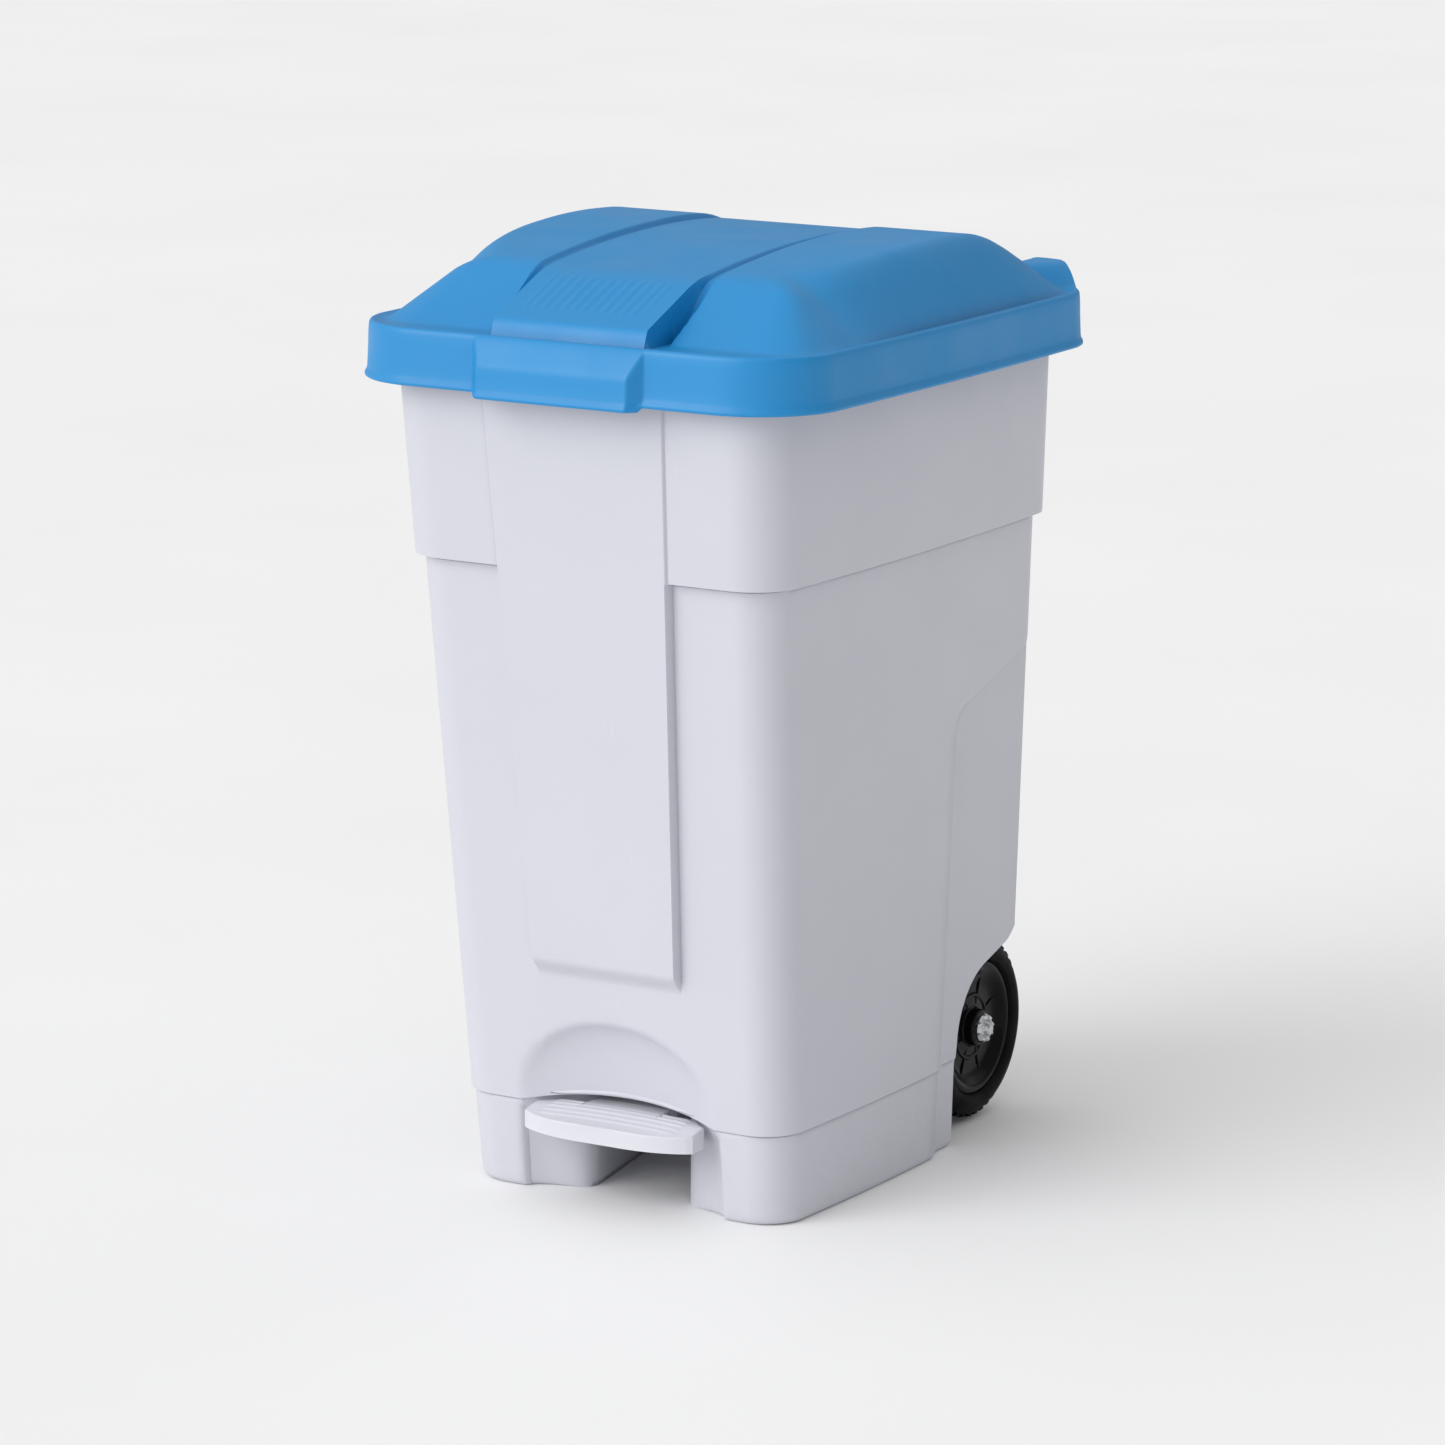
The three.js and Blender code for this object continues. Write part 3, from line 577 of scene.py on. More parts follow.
def tub_point(stretch, value, row, tub):
    """Where one vertex of the tub's skin goes."""
    x, y = tub_plan(stretch, value, row, tub)
    low = tub_floor_height(stretch, x, y)
    top = 350.0 if y > 0 else 150.0
    z = row
    if SKIRT_TOP <= row < top and low > SKIRT_TOP:
        z = low + (row - SKIRT_TOP) * (top - low) / (top - SKIRT_TOP)
    if y > 96.0:
        z += (recess_top(y) - recess_top(0)) * ease(z, 250, 350) * (1 - ease(z, 385, 500))
    if stretch == "back" and value < 15.2 and z > 660.0:
        z = 660.0 + (z - 660.0) * 9.5 / (TUB_TOP - 660.0)
    x, y = tub_plan(stretch, value, z, tub)
    if stretch in ("panel", "edge", "cheek", "front"):
        y = front_surface(x, z, tub)
    if stretch == "back":
        y = back_surface(x, z, tub)
    z -= REAR_RIM_DROP * ease(y, 225.0, 231.0) * ease(z, 660.0, TUB_TOP)
    return x, y, z


def dress_wall(x, y, z, tub):
    """Adds the sunk rear sides, the swell of the sides and the rim's flange."""
    half, front, back, radius = wall_section(z, tub)
    sunk = half - tub.recess_depth / MM
    if x > sunk:
        sunk_in = in_recess(y, z)
        x = mix(x, sunk, ease(sunk_in, -1.8, 2.0)) - dip(sunk_in, -2.4, 0.9, 0.9)
    middle, length = (front + back) / 2, (back - front) / 2
    x = swell(x, y, half, middle, length, TUB_SWELL)
    flange = 8.0 * ease(z, 671.5, 674.5) - 1.2 * ease(z, TUB_TOP - 1.5, TUB_TOP)
    if y < back - 1.0 and flange > 0:
        away = Vector((max(x - half + radius, 0.0), 0.0))
        if y < front + radius:
            away.y = y - front - radius
        if y > back - radius:
            away.y = y - back + radius
        x, y = Vector((x, y)) + away.normalized() * flange
        y = min(y, back)
    return x, y, z


TUB_ROWS = spans(0.0, (0.4, 1), (3.0, 3), (7.0, 2), (66.0, 5), (72.6, 2), (SKIRT_TOP, 3),
                 (76.0, 4), (150.0, 21), (180.0, 5), (198.0, 8), (350.0, 14), (364.0, 4),
                 (372.0, 8), (385.0, 2), (500.0, 8), (505.5, 2), (508.5, 9), (512.0, 2),
                 (576.0, 5), (579.6, 5), (648.4, 5), (651.6, 5), (670.0, 3), (675.0, 5),
                 (TUB_TOP, 4))


def build_tub_skin(tub):
    """The tub's outer surface, open at the passage and over the wheels."""
    bm = bmesh.new()
    half = tub_columns()
    columns = [(-1, *column) for column in reversed(half[1:])] + [(1, *column) for column in half]

    def place(column, row):
        side, stretch, value = column
        x, y, z = dress_wall(*tub_point(stretch, value, row, tub), tub)
        return side * x, y, z

    lines = shaped_grid(bm, columns, TUB_ROWS, place)
    last = max(i for i, row in enumerate(TUB_ROWS) if row <= SKIRT_TOP + 1e-6)
    mouth = ("panel", "edge", "cheek")
    rear = ("wheel", "back_corner", "back_side", "back")
    opening = []
    for line_low, line_high in zip(lines[:last], lines[1:last + 1]):
        for first in range(len(columns) - 1):
            names = {columns[first][1], columns[first + 1][1]}
            if names <= set(mouth) or names <= set(rear):
                corners = [line_low[first], line_low[first + 1], line_high[first + 1]]
                opening += [face for face in corners[0].link_faces
                            if all(vert in face.verts for vert in corners)]
    bmesh.ops.delete(bm, geom=unique(opening), context="FACES")
    bmesh.ops.remove_doubles(bm, verts=bm.verts, dist=0.02)
    bmesh.ops.recalc_face_normals(bm, faces=bm.faces)
    face_outwards(bm, bm.faces[:], lambda centre: Vector((centre.x, centre.y, 0.0)))
    return bm


def tunnel_half(y):
    """Half width of the passage between the feet: a funnel at the front, then a slow widening."""
    narrow = NARROW_HALF + (y - NARROW_Y) * 0.18
    funnel = mix(NARROW_HALF, MOUTH_HALF, (y - NARROW_Y) / (MOUTH_Y - NARROW_Y))
    if y < MOUTH_Y + 0.1:
        return MOUTH_HALF
    return smooth_max(funnel, min(narrow, TUNNEL_HALF), 22.0)


def skin_front(z, tub):
    """Where the plain front wall stands at a height."""
    return WAIST_FRONT - (z - SKIRT_TOP) * FRONT_SLOPE - wall_offset(z, tub)


def passage_side(y, z, tub):
    """Half width of the passage at a station, and where its side stands: it meets the skin."""
    shift = skin_front(min(z, SKIRT_TOP), tub) - MOUTH_Y + foot_turn(MOUTH_HALF, z)
    return tunnel_half(y), y + shift * (1 - ease(y, MOUTH_Y, -135))


def add_tunnel(bm, tub):
    """The passage under the floor, from the scoop's lip to the back."""
    half = ([("ceiling", t) for t in spans(0.0, (1.0, 8))]
            + [("bend", t) for t in spans(18.0, (90.0, 4))]
            + [("wall", z / SKIRT_TOP) for z in reversed(TUB_ROWS) if z < SKIRT_TOP - 0.01])
    columns = [(-1, *column) for column in reversed(half[1:])] + [(1, *column) for column in half]
    stations = spans(MOUTH_Y, (-145, 9), (-128, 9), (-20, 8), (BACK_WALL - 1, 8))

    def place(column, y):
        side, stretch, value = column
        half_width, bend = tunnel_half(y), mix(0.2, 4.0, ease(y, MOUTH_Y, -150))
        inside = ease(y, -168, -105)
        ceiling = mix(front_lip(half_width - bend), TUNNEL_CEILING, inside)
        if stretch == "wall":
            z = (ceiling - bend) * value
            x, y = passage_side(y, z, tub)
            return side * x, y, z
        if stretch == "ceiling":
            x = value * (half_width - bend)
            z = mix(front_lip(x) + 0.4, TUNNEL_CEILING, inside)
        else:
            turn = math.radians(value)
            x = half_width - bend + bend * math.sin(turn)
            z = ceiling - bend + bend * math.cos(turn)
        skin = front_surface(x, front_lip(x) + 0.5, tub) + 2.2 * (1 - ease(x, 66.0, MOUTH_HALF))
        return side * x, max(passage_side(y, z, tub)[1], skin + (y - MOUTH_Y) * 0.01), z

    lines = shaped_grid(bm, columns, stations, place)
    faces = unique(face for line in lines for vert in line for face in vert.link_faces)
    bmesh.ops.recalc_face_normals(bm, faces=faces)
    face_outwards(bm, faces, lambda c: Vector((-c.x, 0.0, 40.0 - c.z)))


def pocket_profile():
    """Side view of the wheel pocket's front wall and roof."""
    return ([(POCKET_FRONT, 0.0), (POCKET_FRONT, 30.0), (POCKET_FRONT, 60.0)]
            + arc((WHEEL_CENTRE.y, WHEEL_CENTRE.z), POCKET_RADIUS, 180.0, 104.0, 14)
            + [(200.0, 166.5), (BACK_WALL - 1.0, 178.0)])


def side_surface(y, z, tub):
    """The side wall's outer face at a place, past the recess and the back corner."""
    half, front, back, radius = wall_section(z, tub)
    x = half
    if y > back - radius:
        x = half - radius + math.sqrt(max(radius ** 2 - (y - back + radius) ** 2, 0.0))
    return dress_wall(x, y, z, tub)[0]


def add_pockets(bm, tub):
    """The roof and front wall of each wheel's pocket."""
    for side in (-1, 1):
        def place(point, t):
            y, z = point
            x = mix(POCKET_X, max(side_surface(y, z, tub) - 1.0, POCKET_X + 1.0), t)
            return side * x, y, z
        lines = shaped_grid(bm, pocket_profile(), (0.0, 0.33, 0.66, 1.0), place)
        faces = unique(face for line in lines for vert in line for face in vert.link_faces)
        bmesh.ops.recalc_face_normals(bm, faces=faces)
        face_outwards(bm, faces,
                      lambda c: Vector((0.0, WHEEL_CENTRE.y - c.y, WHEEL_CENTRE.z - c.z)))


def add_soles(bm, tub):
    """The flat underside of each foot."""
    for side in (-1, 1):
        outer = [dress_wall(*tub_point(stretch, value, 0.0, tub), tub)
                 for stretch, value in tub_columns()
                 if stretch in ("front", "front_corner", "flank", "notch", "saddle")]
        outer = [(MOUTH_HALF, skin_front(0.0, tub) + foot_turn(MOUTH_HALF, 0.0), 0.0)] + outer
        outer += [dress_wall(*tub_point("wheel", POCKET_FRONT, 0.0, tub), tub)]
        inner = [(TUNNEL_HALF, POCKET_FRONT, 0.0)]
        inner += [(*passage_side(y, 0.0, tub), 0.0)
                  for y in spans(-20.0, (-128, 8), (-145, 9), (-168, 8))]
        verts = [bm.verts.new((side * x, y, z)) for x, y, z in outer + inner]
        face = bm.faces.new(verts if side < 0 else reversed(verts))
        face.normal_update()
        if face.normal.z > 0:
            face.normal_flip()


def build_tub_sheets(tub):
    """All the tub's sheets, which get their wall together."""
    bm = build_tub_skin(tub)
    add_tunnel(bm, tub)
    add_pockets(bm, tub)
    add_soles(bm, tub)
    return bm


def build_tub_fittings():
    """Brackets, bosses and lugs that are moulded on the tub."""
    bm = bmesh.new()
    inner_wall = pocket_profile()[1:] + [(BACK_WALL - 1, 52.0), (119.0, 52.0), (119.0, 0.5),
                                         (POCKET_FRONT, 0.5)]
    web = [(119.0, 52.0), (119.0, 99.0), (BACK_WALL - 1, 99.0), (BACK_WALL - 1, 52.0)]
    pivot = [(4.0, 101.0), (4.0, 50.0)]
    pivot += arc((18.0, 50.0), 14.0, 180.0, 360.0, 12) + [(32.0, 101.0)]
    handle_y, handle_z = (HANDLE_LOW.y + HANDLE_HIGH.y) / 2, (HANDLE_LOW.z + HANDLE_HIGH.z) / 2
    root = TUB_BACK - 1.5                 # the lugs end inside the wall
    lug = [(root, handle_z - 34), (handle_y, handle_z - 14)]
    lug += arc((handle_y, handle_z), 14.0, -80.0, 90.0, 12) + [(root, handle_z + 34)]
    for side in (-1, 1):
        for profile, low, high, width in (
                (inner_wall, 81.0, POCKET_X, 0.4), (web, 66.0, 69.0, 0.6),
                (pivot, 30.0, 36.0, 0.8), (lug, 84.0, 96.0, 1.6)):
            add_block(bm, profile, *sorted((side * low, side * high)), width)
        boss = bmesh.ops.create_cone(bm, cap_ends=True, segments=40, radius1=13.0, radius2=13.0,
                                     depth=18.4)["verts"]
        bmesh.ops.rotate(bm, verts=boss, cent=(0, 0, 0),
                         matrix=Matrix.Rotation(math.pi / 2, 3, "Y"))
        bmesh.ops.translate(bm, verts=boss, vec=(side * 75.0, WHEEL_CENTRE.y, WHEEL_CENTRE.z))
    add_knuckles(bm, [(115.0, 129.0), (-129.0, -115.0)], 655.0, HINGE.z, 7.0)
    return bm


# ---------- the pedal ----------
PEDAL_HALF = PEDAL_HIGH.x - 4.0
PEDAL_FRONT, PEDAL_BACK = PEDAL_LOW.y, PEDAL_HIGH.y
PEDAL_WALL_LOW = PEDAL_LOW.z
TAB_LENGTH = 26.0          # the tread's middle runs on under the scoop's lip
# Rows from the tread's edge down: step outwards, fall below the row above, or a fixed height.
PEDAL_SIDE_ROWS = ((0.7, 0.125, None), (0.5, 0.4, None), (0.3, 0.8, None), (0.0, 0.0, 68.0),
                   (0.0, 0.0, PEDAL_WALL_LOW + 0.6))


def pedal_plan(p, q, pedal):
    """A place on the pedal's plan: p from -1 to 1 across, q from 0 at the front to 1."""
    x = p * PEDAL_HALF
    front = PEDAL_FRONT + pedal.front_bow / MM * abs(p) ** 3.2
    tab = 1 - ease(abs(x), 33.5, 35.5)
    back = PEDAL_BACK - 14.0 * ease(abs(x), 56.0, 76.0) + TAB_LENGTH * tab
    back -= 5.0 * (1 - tab) * (1 - ease(abs(x), 45.0, 47.0))
    short = PEDAL_BACK - 21.0
    if q < 0.9:
        return x, mix(front, short, q / 0.9)
    return x, mix(short, back, (q - 0.9) / 0.1)


def pedal_height(x, y, pedal):
    """The tread: it rises to the back, with shallow ribs across it."""
    rise = mix(70.6, 76.2, ease(y, PEDAL_FRONT, PEDAL_BACK - 14.0))
    rise -= 2.6 * (x / PEDAL_HALF) ** 2
    wave = 0.5 + 0.5 * math.cos(2 * math.pi * (y - PEDAL_FRONT - 13.0) / 6.6)
    window = (1 - ease(abs(x), 58.0, 62.0)) * ease(y, -190.0, -187.0)
    return rise + pedal.rib_height / MM * ease(wave, 0.3, 0.75) * window


def build_pedal_sheet(pedal):
    """The tread's top, its rounded edge and its sides."""
    bm = bmesh.new()
    columns = both_sides(spans(0.0, (33.0, 8), (36.0, 4), (44.5, 3), (47.5, 4), (60.0, 4),
                               (64.0, 3), (72.0, 4), (74.5, 2)))
    rows = spans(0.04, (0.1, 3), (0.9, 40), (0.98, 14))

    def place(column, q):
        x, y = pedal_plan(column / PEDAL_HALF, q, pedal)
        return x, y, pedal_height(x, y, pedal)

    shaped_grid(bm, columns, rows, place)
    loop = [edge for edge in bm.edges if edge.is_boundary]
    middle_y = (PEDAL_FRONT + PEDAL_BACK) / 2
    for step, drop, level in PEDAL_SIDE_ROWS:
        made = bmesh.ops.extrude_edge_only(bm, edges=loop)["geom"]
        loop = [item for item in made if isinstance(item, bmesh.types.BMEdge)]
        for vert in [item for item in made if isinstance(item, bmesh.types.BMVert)]:
            source = next(e.other_vert(vert) for e in vert.link_edges if e not in loop)
            away = Vector((math.copysign(ease(abs(vert.co.x), 55.0, 74.0), vert.co.x),
                           math.copysign(1.0, vert.co.y - middle_y), 0.0))
            if abs(vert.co.x) > 73.0:
                away = Vector((math.copysign(1.0, vert.co.x), 0.0, 0.0))
            vert.co = source.co + away.normalized() * step
            top = pedal_height(source.co.x, source.co.y, pedal)
            vert.co.z = min(source.co.z, top) - drop if level is None else level
    bmesh.ops.recalc_face_normals(bm, faces=bm.faces)
    face_outwards(bm, bm.faces[:], lambda c: Vector((0.0, 0.0, 1.0)))
    for vert in bm.verts:
        vert.co.x = max(min(vert.co.x, PEDAL_HALF), -PEDAL_HALF)
        vert.co.y = max(vert.co.y, PEDAL_FRONT)
    return bm


# ---------- the wheels ----------
TREAD_GROOVE = 1.7


def tyre_profile(radius, half):
    """Section of the tyre from bead to bead, without its blocks."""
    outer = [(radius - 6.5, -half + 1.2), (radius - 3.4, -half + 3.4), (radius - 1.2, -half + 6.2),
             (radius - 0.2, -half + 9.5), (radius, 0.0)]
    inner = [(57.0, -half + 1.6), (56.0, -half + 3.2), (55.0, -half + 6.0)]
    side = [(radius - 10.0, -half + 0.2), (60.5, -half)]
    left = inner[::-1] + side[::-1] + outer
    return left + [(r, -along) for r, along in reversed(left[:-1])]


def build_tyre(centre, wheel):
    """A turned tyre whose blocks stand out from every second stretch of its tread."""
    bm = bmesh.new()
    half = (TYRE_HIGH.x - TYRE_LOW.x) / 2
    radius = (TYRE_HIGH.z - TYRE_LOW.z) / 2 - TREAD_GROOVE
    spun(bm, tyre_profile(radius, half), centre, wheel.lugs * 2)
    bmesh.ops.recalc_face_normals(bm, faces=bm.faces)
    lugs = []
    for face in bm.faces:
        away = face.calc_center_median() - Vector(centre)
        turn = math.degrees(math.atan2(away.z, away.y)) % 360.0
        on_tread = math.hypot(away.y, away.z) > radius - 2.2
        if on_tread and int(turn / (180.0 / wheel.lugs)) % 2 == 0:
            lugs.append(face)
    made = bmesh.ops.extrude_face_region(bm, geom=lugs)["geom"]
    top = [item for item in made if isinstance(item, bmesh.types.BMVert)]
    for vert in top:
        away = vert.co - Vector(centre)
        away.x = 0.0
        reach = away.length
        along = (vert.co - Vector(centre)).x
        vert.co += away.normalized() * (radius + TREAD_GROOVE - 0.5 * (abs(along) / half) ** 4
                                        - reach) * min((reach - radius + 4.0) / 4.0, 1.0)
    bmesh.ops.delete(bm, geom=lugs, context="FACES_ONLY")
    bmesh.ops.recalc_face_normals(bm, faces=bm.faces)
    return bm


def rim_profile():
    """The dished disc: hub, rings and the bead seat, from the outer face to the inner one."""
    outer = [(9.0, 15.5), (13.5, 15.5), (14.6, 15.0), (15.2, 13.6), (15.6, 8.5), (17.0, 7.2),
             (24.0, 6.4), (25.0, 7.6), (27.0, 7.6), (28.0, 6.2), (36.0, 5.8), (40.0, 6.6),
             (44.0, 9.0), (47.0, 11.8), (49.5, 13.2), (52.5, 13.4), (54.6, 12.6), (55.4, 10.8)]
    inner = [(55.4, -10.8), (54.0, -12.8), (50.0, -12.8), (47.5, -11.0), (44.0, -2.0),
             (38.0, 1.6), (20.0, 1.6), (16.5, 0.0), (15.6, -13.0), (14.0, -15.0), (9.0, -15.0)]
    return outer + inner


def build_rim(centre, side):
    """A turned disc with small stiffening ribs between its hub and its bead seat."""
    bm = bmesh.new()
    spun(bm, [(radius, side * along) for radius, along in rim_profile()], centre, 96)
    for turn in range(8):
        made = bmesh.ops.create_cube(bm, size=1.0)["verts"]
        bmesh.ops.scale(bm, verts=made, vec=(4.2, 26.0, 3.0))
        bmesh.ops.bevel(bm, geom=unique(e for v in made for e in v.link_edges), offset=0.8,
                        offset_type="OFFSET", affect="EDGES", segments=2, profile=0.5,
                        material=-1)
        rib = [v for v in bm.verts if v.co.length < 40.0 and abs(v.co.x) < 3.0]
        bmesh.ops.translate(bm, verts=rib, vec=(0.0, 31.0, 0.0))
        bmesh.ops.rotate(bm, verts=rib, cent=(0, 0, 0),
                         matrix=Matrix.Rotation(math.radians(45.0 * turn + 22.5), 3, "X"))
        bmesh.ops.translate(bm, verts=rib, vec=(centre[0] + side * 5.2, centre[1], centre[2]))
    bmesh.ops.recalc_face_normals(bm, faces=bm.faces)
    return bm


TOOTH_TURN = 22.5          # degrees that a tooth of the axle cap takes up


def build_axle_cap(low, high, side):
    """The pressed star-lock cap on the axle's end."""
    bm = bmesh.new()
    centre = ((low.x + high.x) / 2, (low.y + high.y) / 2, (low.z + high.z) / 2)
    half, radius = (high.x - low.x) / 2, (high.z - low.z) / 2
    profile = [(0.0, half), (radius * 0.30, half * 0.97), (radius * 0.42, half * 0.80),
               (radius * 0.50, half * 0.30), (radius * 0.58, half * 0.15),
               (radius * 0.66, half * 0.45), (radius * 0.76, half * 0.60),
               (radius * 0.88, half * 0.42), (radius, -half * 0.2), (radius, -half),
               (0.0, -half)]
    verts = [bm.verts.new((centre[0] + side * along, centre[1], centre[2] + reach))
             for reach, along in profile]
    edges = [bm.edges.new(pair) for pair in zip(verts, verts[1:])]
    bmesh.ops.spin(bm, geom=verts + edges, cent=centre, axis=(1, 0, 0), angle=2 * math.pi,
                   steps=48, use_merge=True, use_duplicate=False)
    bmesh.ops.remove_doubles(bm, verts=bm.verts, dist=1e-3)
    bmesh.ops.recalc_face_normals(bm, faces=bm.faces)
    teeth = []
    for face in bm.faces:
        away = face.calc_center_median() - Vector(centre)
        turn = math.degrees(math.atan2(away.z, away.y))
        if (0.58 < math.hypot(away.y, away.z) / radius < 0.88 and side * away.x > 0
                and int(turn // TOOTH_TURN) % 2):
            teeth.append(face)
    moved = unique(vert for face in teeth for vert in face.verts)
    bmesh.ops.translate(bm, verts=moved, vec=(-side * half * 0.3, 0.0, 0.0))
    return bm


# ---------- materials ----------
class Surface:
    """A material under construction: its nodes, and the values that vary over it."""

    def __init__(self, name, roughness, specular=0.5, coat=0.0, metallic=0.0):
        self.material = bpy.data.materials.new(name)
        self.material.use_nodes = True
        tree = self.material.node_tree
        self.nodes, self.links = tree.nodes, tree.links
        self.shader = self.nodes["Principled BSDF"]
        self.shader.inputs["Roughness"].default_value = roughness
        self.shader.inputs["Specular IOR Level"].default_value = specular
        self.shader.inputs["Coat Weight"].default_value = coat
        self.shader.inputs["Metallic"].default_value = metallic
        self.place = self.nodes.new("ShaderNodeTexCoord").outputs["Object"]

    def node(self, kind, **inputs):
        node = self.nodes.new(kind)
        for name, value in inputs.items():
            self.set(node, name.replace("_", " "), value)
        return node

    def set(self, node, name, value):
        if isinstance(value, bpy.types.NodeSocket):
            self.links.new(value, node.inputs[name])
        else:
            node.inputs[name].default_value = value

    def noise(self, scale, detail=2.0, roughness=0.5, stretch=None):
        place = self.place
        if stretch:
            place = self.node("ShaderNodeMapping", Vector=place, Scale=stretch).outputs[0]
        return self.node("ShaderNodeTexNoise", Vector=place, Scale=scale, Detail=detail,
                         Roughness=roughness).outputs["Fac"]

    def remap(self, value, low, high, to_low=0.0, to_high=1.0):
        node = self.node("ShaderNodeMapRange", Value=value, From_Min=low, From_Max=high,
                         To_Min=to_low, To_Max=to_high)
        return node.outputs["Result"]

    def times(self, a, b):
        node = self.nodes.new("ShaderNodeMath")
        node.operation = "MULTIPLY"
        for socket, value in zip(node.inputs, (a, b)):
            if isinstance(value, bpy.types.NodeSocket):
                self.links.new(value, socket)
            else:
                socket.default_value = value
        return node.outputs[0]

    def blend(self, factor, a, b):
        """A colour between a and b. The colour sockets of a Mix node are its 6th and 7th."""
        node = self.nodes.new("ShaderNodeMix")
        node.data_type = "RGBA"
        for index, value in ((0, factor), (6, a), (7, b)):
            if isinstance(value, bpy.types.NodeSocket):
                self.links.new(value, node.inputs[index])
            else:
                node.inputs[index].default_value = value
        return node.outputs[2]

    def bump(self, height, distance, strength=1.0, under=None):
        node = self.node("ShaderNodeBump", Height=height, Distance=distance, Strength=strength)
        if under:
            self.links.new(under, node.inputs["Normal"])
        return node.outputs["Normal"]

    def edges(self, low=0.52, high=0.62):
        """1 on convex edges, lightened for handling wear and as a painted highlight, or in
        creases, darkened as painted shade, if low > high.
        """
        return self.remap(self.node("ShaderNodeNewGeometry").outputs["Pointiness"], low, high)

    def height(self):
        parts = self.node("ShaderNodeSeparateXYZ", Vector=self.place)
        return parts.outputs["Z"]


def shade(colour, factor):
    """A colour made lighter or darker."""
    return tuple(min(channel * factor, 1.0) for channel in colour[:3]) + (1.0,)


def moulded_plastic(name, colour, roughness, grain=1.0, cloud=0.04, dust=0.0, specular=0.5):
    """Injection-moulded plastic: fine grain, flow clouds, hair scratches, edges lightened for wear
    and as a painted highlight, creases darkened as painted shade.
    """
    s = Surface(name, roughness, specular)
    clouds = s.remap(s.noise(7.0, 3.0), 0.3, 0.7)
    tone = s.blend(clouds, shade(colour, 1.0 - cloud), shade(colour, 1.0 + cloud))
    hair = s.remap(s.noise(260.0, 2.0, 0.6, (1.0, 1.0, 0.06)), 0.66, 0.78)
    hair = s.times(hair, s.remap(s.noise(11.0, 2.0), 0.5, 0.7))
    tone = s.blend(s.times(hair, 0.25), tone, shade(colour, 1.25))
    # Convex edges are lightened: part handling wear, part painted highlight.
    tone = s.blend(s.times(s.edges(), 0.22), tone, shade(colour, 1.18))
    # Creases are darkened: painted shade along the thin shadow lines at steps and seams.
    tone = s.blend(s.times(s.edges(0.49, 0.42), 0.55), tone, shade(colour, 0.62))
    if dust:
        low = s.remap(s.height(), 0.09, 0.0)
        specks = s.remap(s.noise(55.0, 6.0, 0.7), 0.42, 0.75)
        tone = s.blend(s.times(s.times(low, specks), dust), tone, (0.32, 0.29, 0.25, 1.0))
    s.set(s.shader, "Base Color", tone)
    patches = s.remap(s.noise(18.0, 4.0), 0.3, 0.7, roughness - 0.05, roughness + 0.07)
    s.set(s.shader, "Roughness", patches)
    flow = s.bump(s.noise(9.0, 1.0), 0.0016, 0.35)
    fine = s.bump(s.noise(1500.0, 2.0), 0.00006 * grain, 0.8, flow)
    s.set(s.shader, "Normal", s.bump(hair, 0.00003, 0.5, fine))
    return s.material


def tyre_rubber(name, colour):
    """Dull rubber with dust in its pores."""
    s = Surface(name, 0.62, specular=0.10)
    dusty = s.remap(s.noise(40.0, 6.0, 0.7), 0.45, 0.8)
    tone = s.blend(s.times(dusty, 0.3), colour, (0.020, 0.019, 0.018, 1.0))
    s.set(s.shader, "Base Color", tone)
    s.set(s.shader, "Roughness", s.remap(s.noise(70.0, 4.0), 0.3, 0.7, 0.5, 0.72))
    s.set(s.shader, "Normal", s.bump(s.noise(900.0, 3.0), 0.00012, 0.7))
    return s.material


def bright_metal(name, colour, roughness):
    """Zinc-plated steel: cloudy plating, fine drawing lines and dull spots."""
    s = Surface(name, roughness, metallic=1.0)
    spots = s.remap(s.noise(160.0, 5.0, 0.65), 0.45, 0.72)
    s.set(s.shader, "Base Color", s.blend(s.times(spots, 0.4), colour, shade(colour, 0.72)))
    s.set(s.shader, "Roughness", s.remap(s.noise(90.0, 4.0), 0.3, 0.7, roughness - 0.06,
                                         roughness + 0.14))
    s.set(s.shader, "Normal", s.bump(s.noise(700.0, 2.0, 0.5, (1.0, 1.0, 0.15)), 0.00004, 0.6))
    return s.material


def coat_node(node, material):
    """Gives a CAD node its finish."""
    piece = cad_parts[node]
    if not piece.material_slots:
        piece.data.materials.append(material)
    for holder in piece.material_slots:
        holder.material = material


# ---------- settings ----------
class TubSettings(bpy.types.PropertyGroup):
    colour: FloatVectorProperty(
        name="Colour", description="Colour of the tub's plastic", subtype="COLOR", size=4,
        default=(0.585, 0.592, 0.652, 1.0), min=0.0, max=1.0)
    collar_step: FloatProperty(
        name="Collar step", description="How far the collar stands out from the wall",
        default=0.007, unit="LENGTH")
    panel_proud: FloatProperty(
        name="Front panel", description="How far the front panel stands out from the wall",
        default=0.009, unit="LENGTH")
    scoop_depth: FloatProperty(
        name="Scoop depth", description="Depth of the scoop over the pedal",
        default=0.020, unit="LENGTH")
    recess_depth: FloatProperty(
        name="Side recess", description="Depth of the sunk rear part of each side",
        default=0.006, unit="LENGTH")
    wall: FloatProperty(
        name="Wall", description="Thickness of the tub's wall", default=0.003, unit="LENGTH")


class LidSettings(bpy.types.PropertyGroup):
    colour: FloatVectorProperty(
        name="Colour", description="Colour of the lid's plastic", subtype="COLOR", size=4,
        default=(0.0003, 0.235, 0.56, 1.0), min=0.0, max=1.0)
    dome_rise: FloatProperty(
        name="Dome rise", description="Height of the dome over the shelf round it",
        default=0.060, unit="LENGTH")
    band_width: FloatProperty(
        name="Band width", description="Width of the band along the lid's middle",
        default=0.136, unit="LENGTH")
    rib_height: FloatProperty(
        name="Grip ribs", description="Height of the ribs on the band's slanted front",
        default=0.0005, unit="LENGTH")
    wall: FloatProperty(
        name="Wall", description="Thickness of the lid's wall", default=0.003, unit="LENGTH")


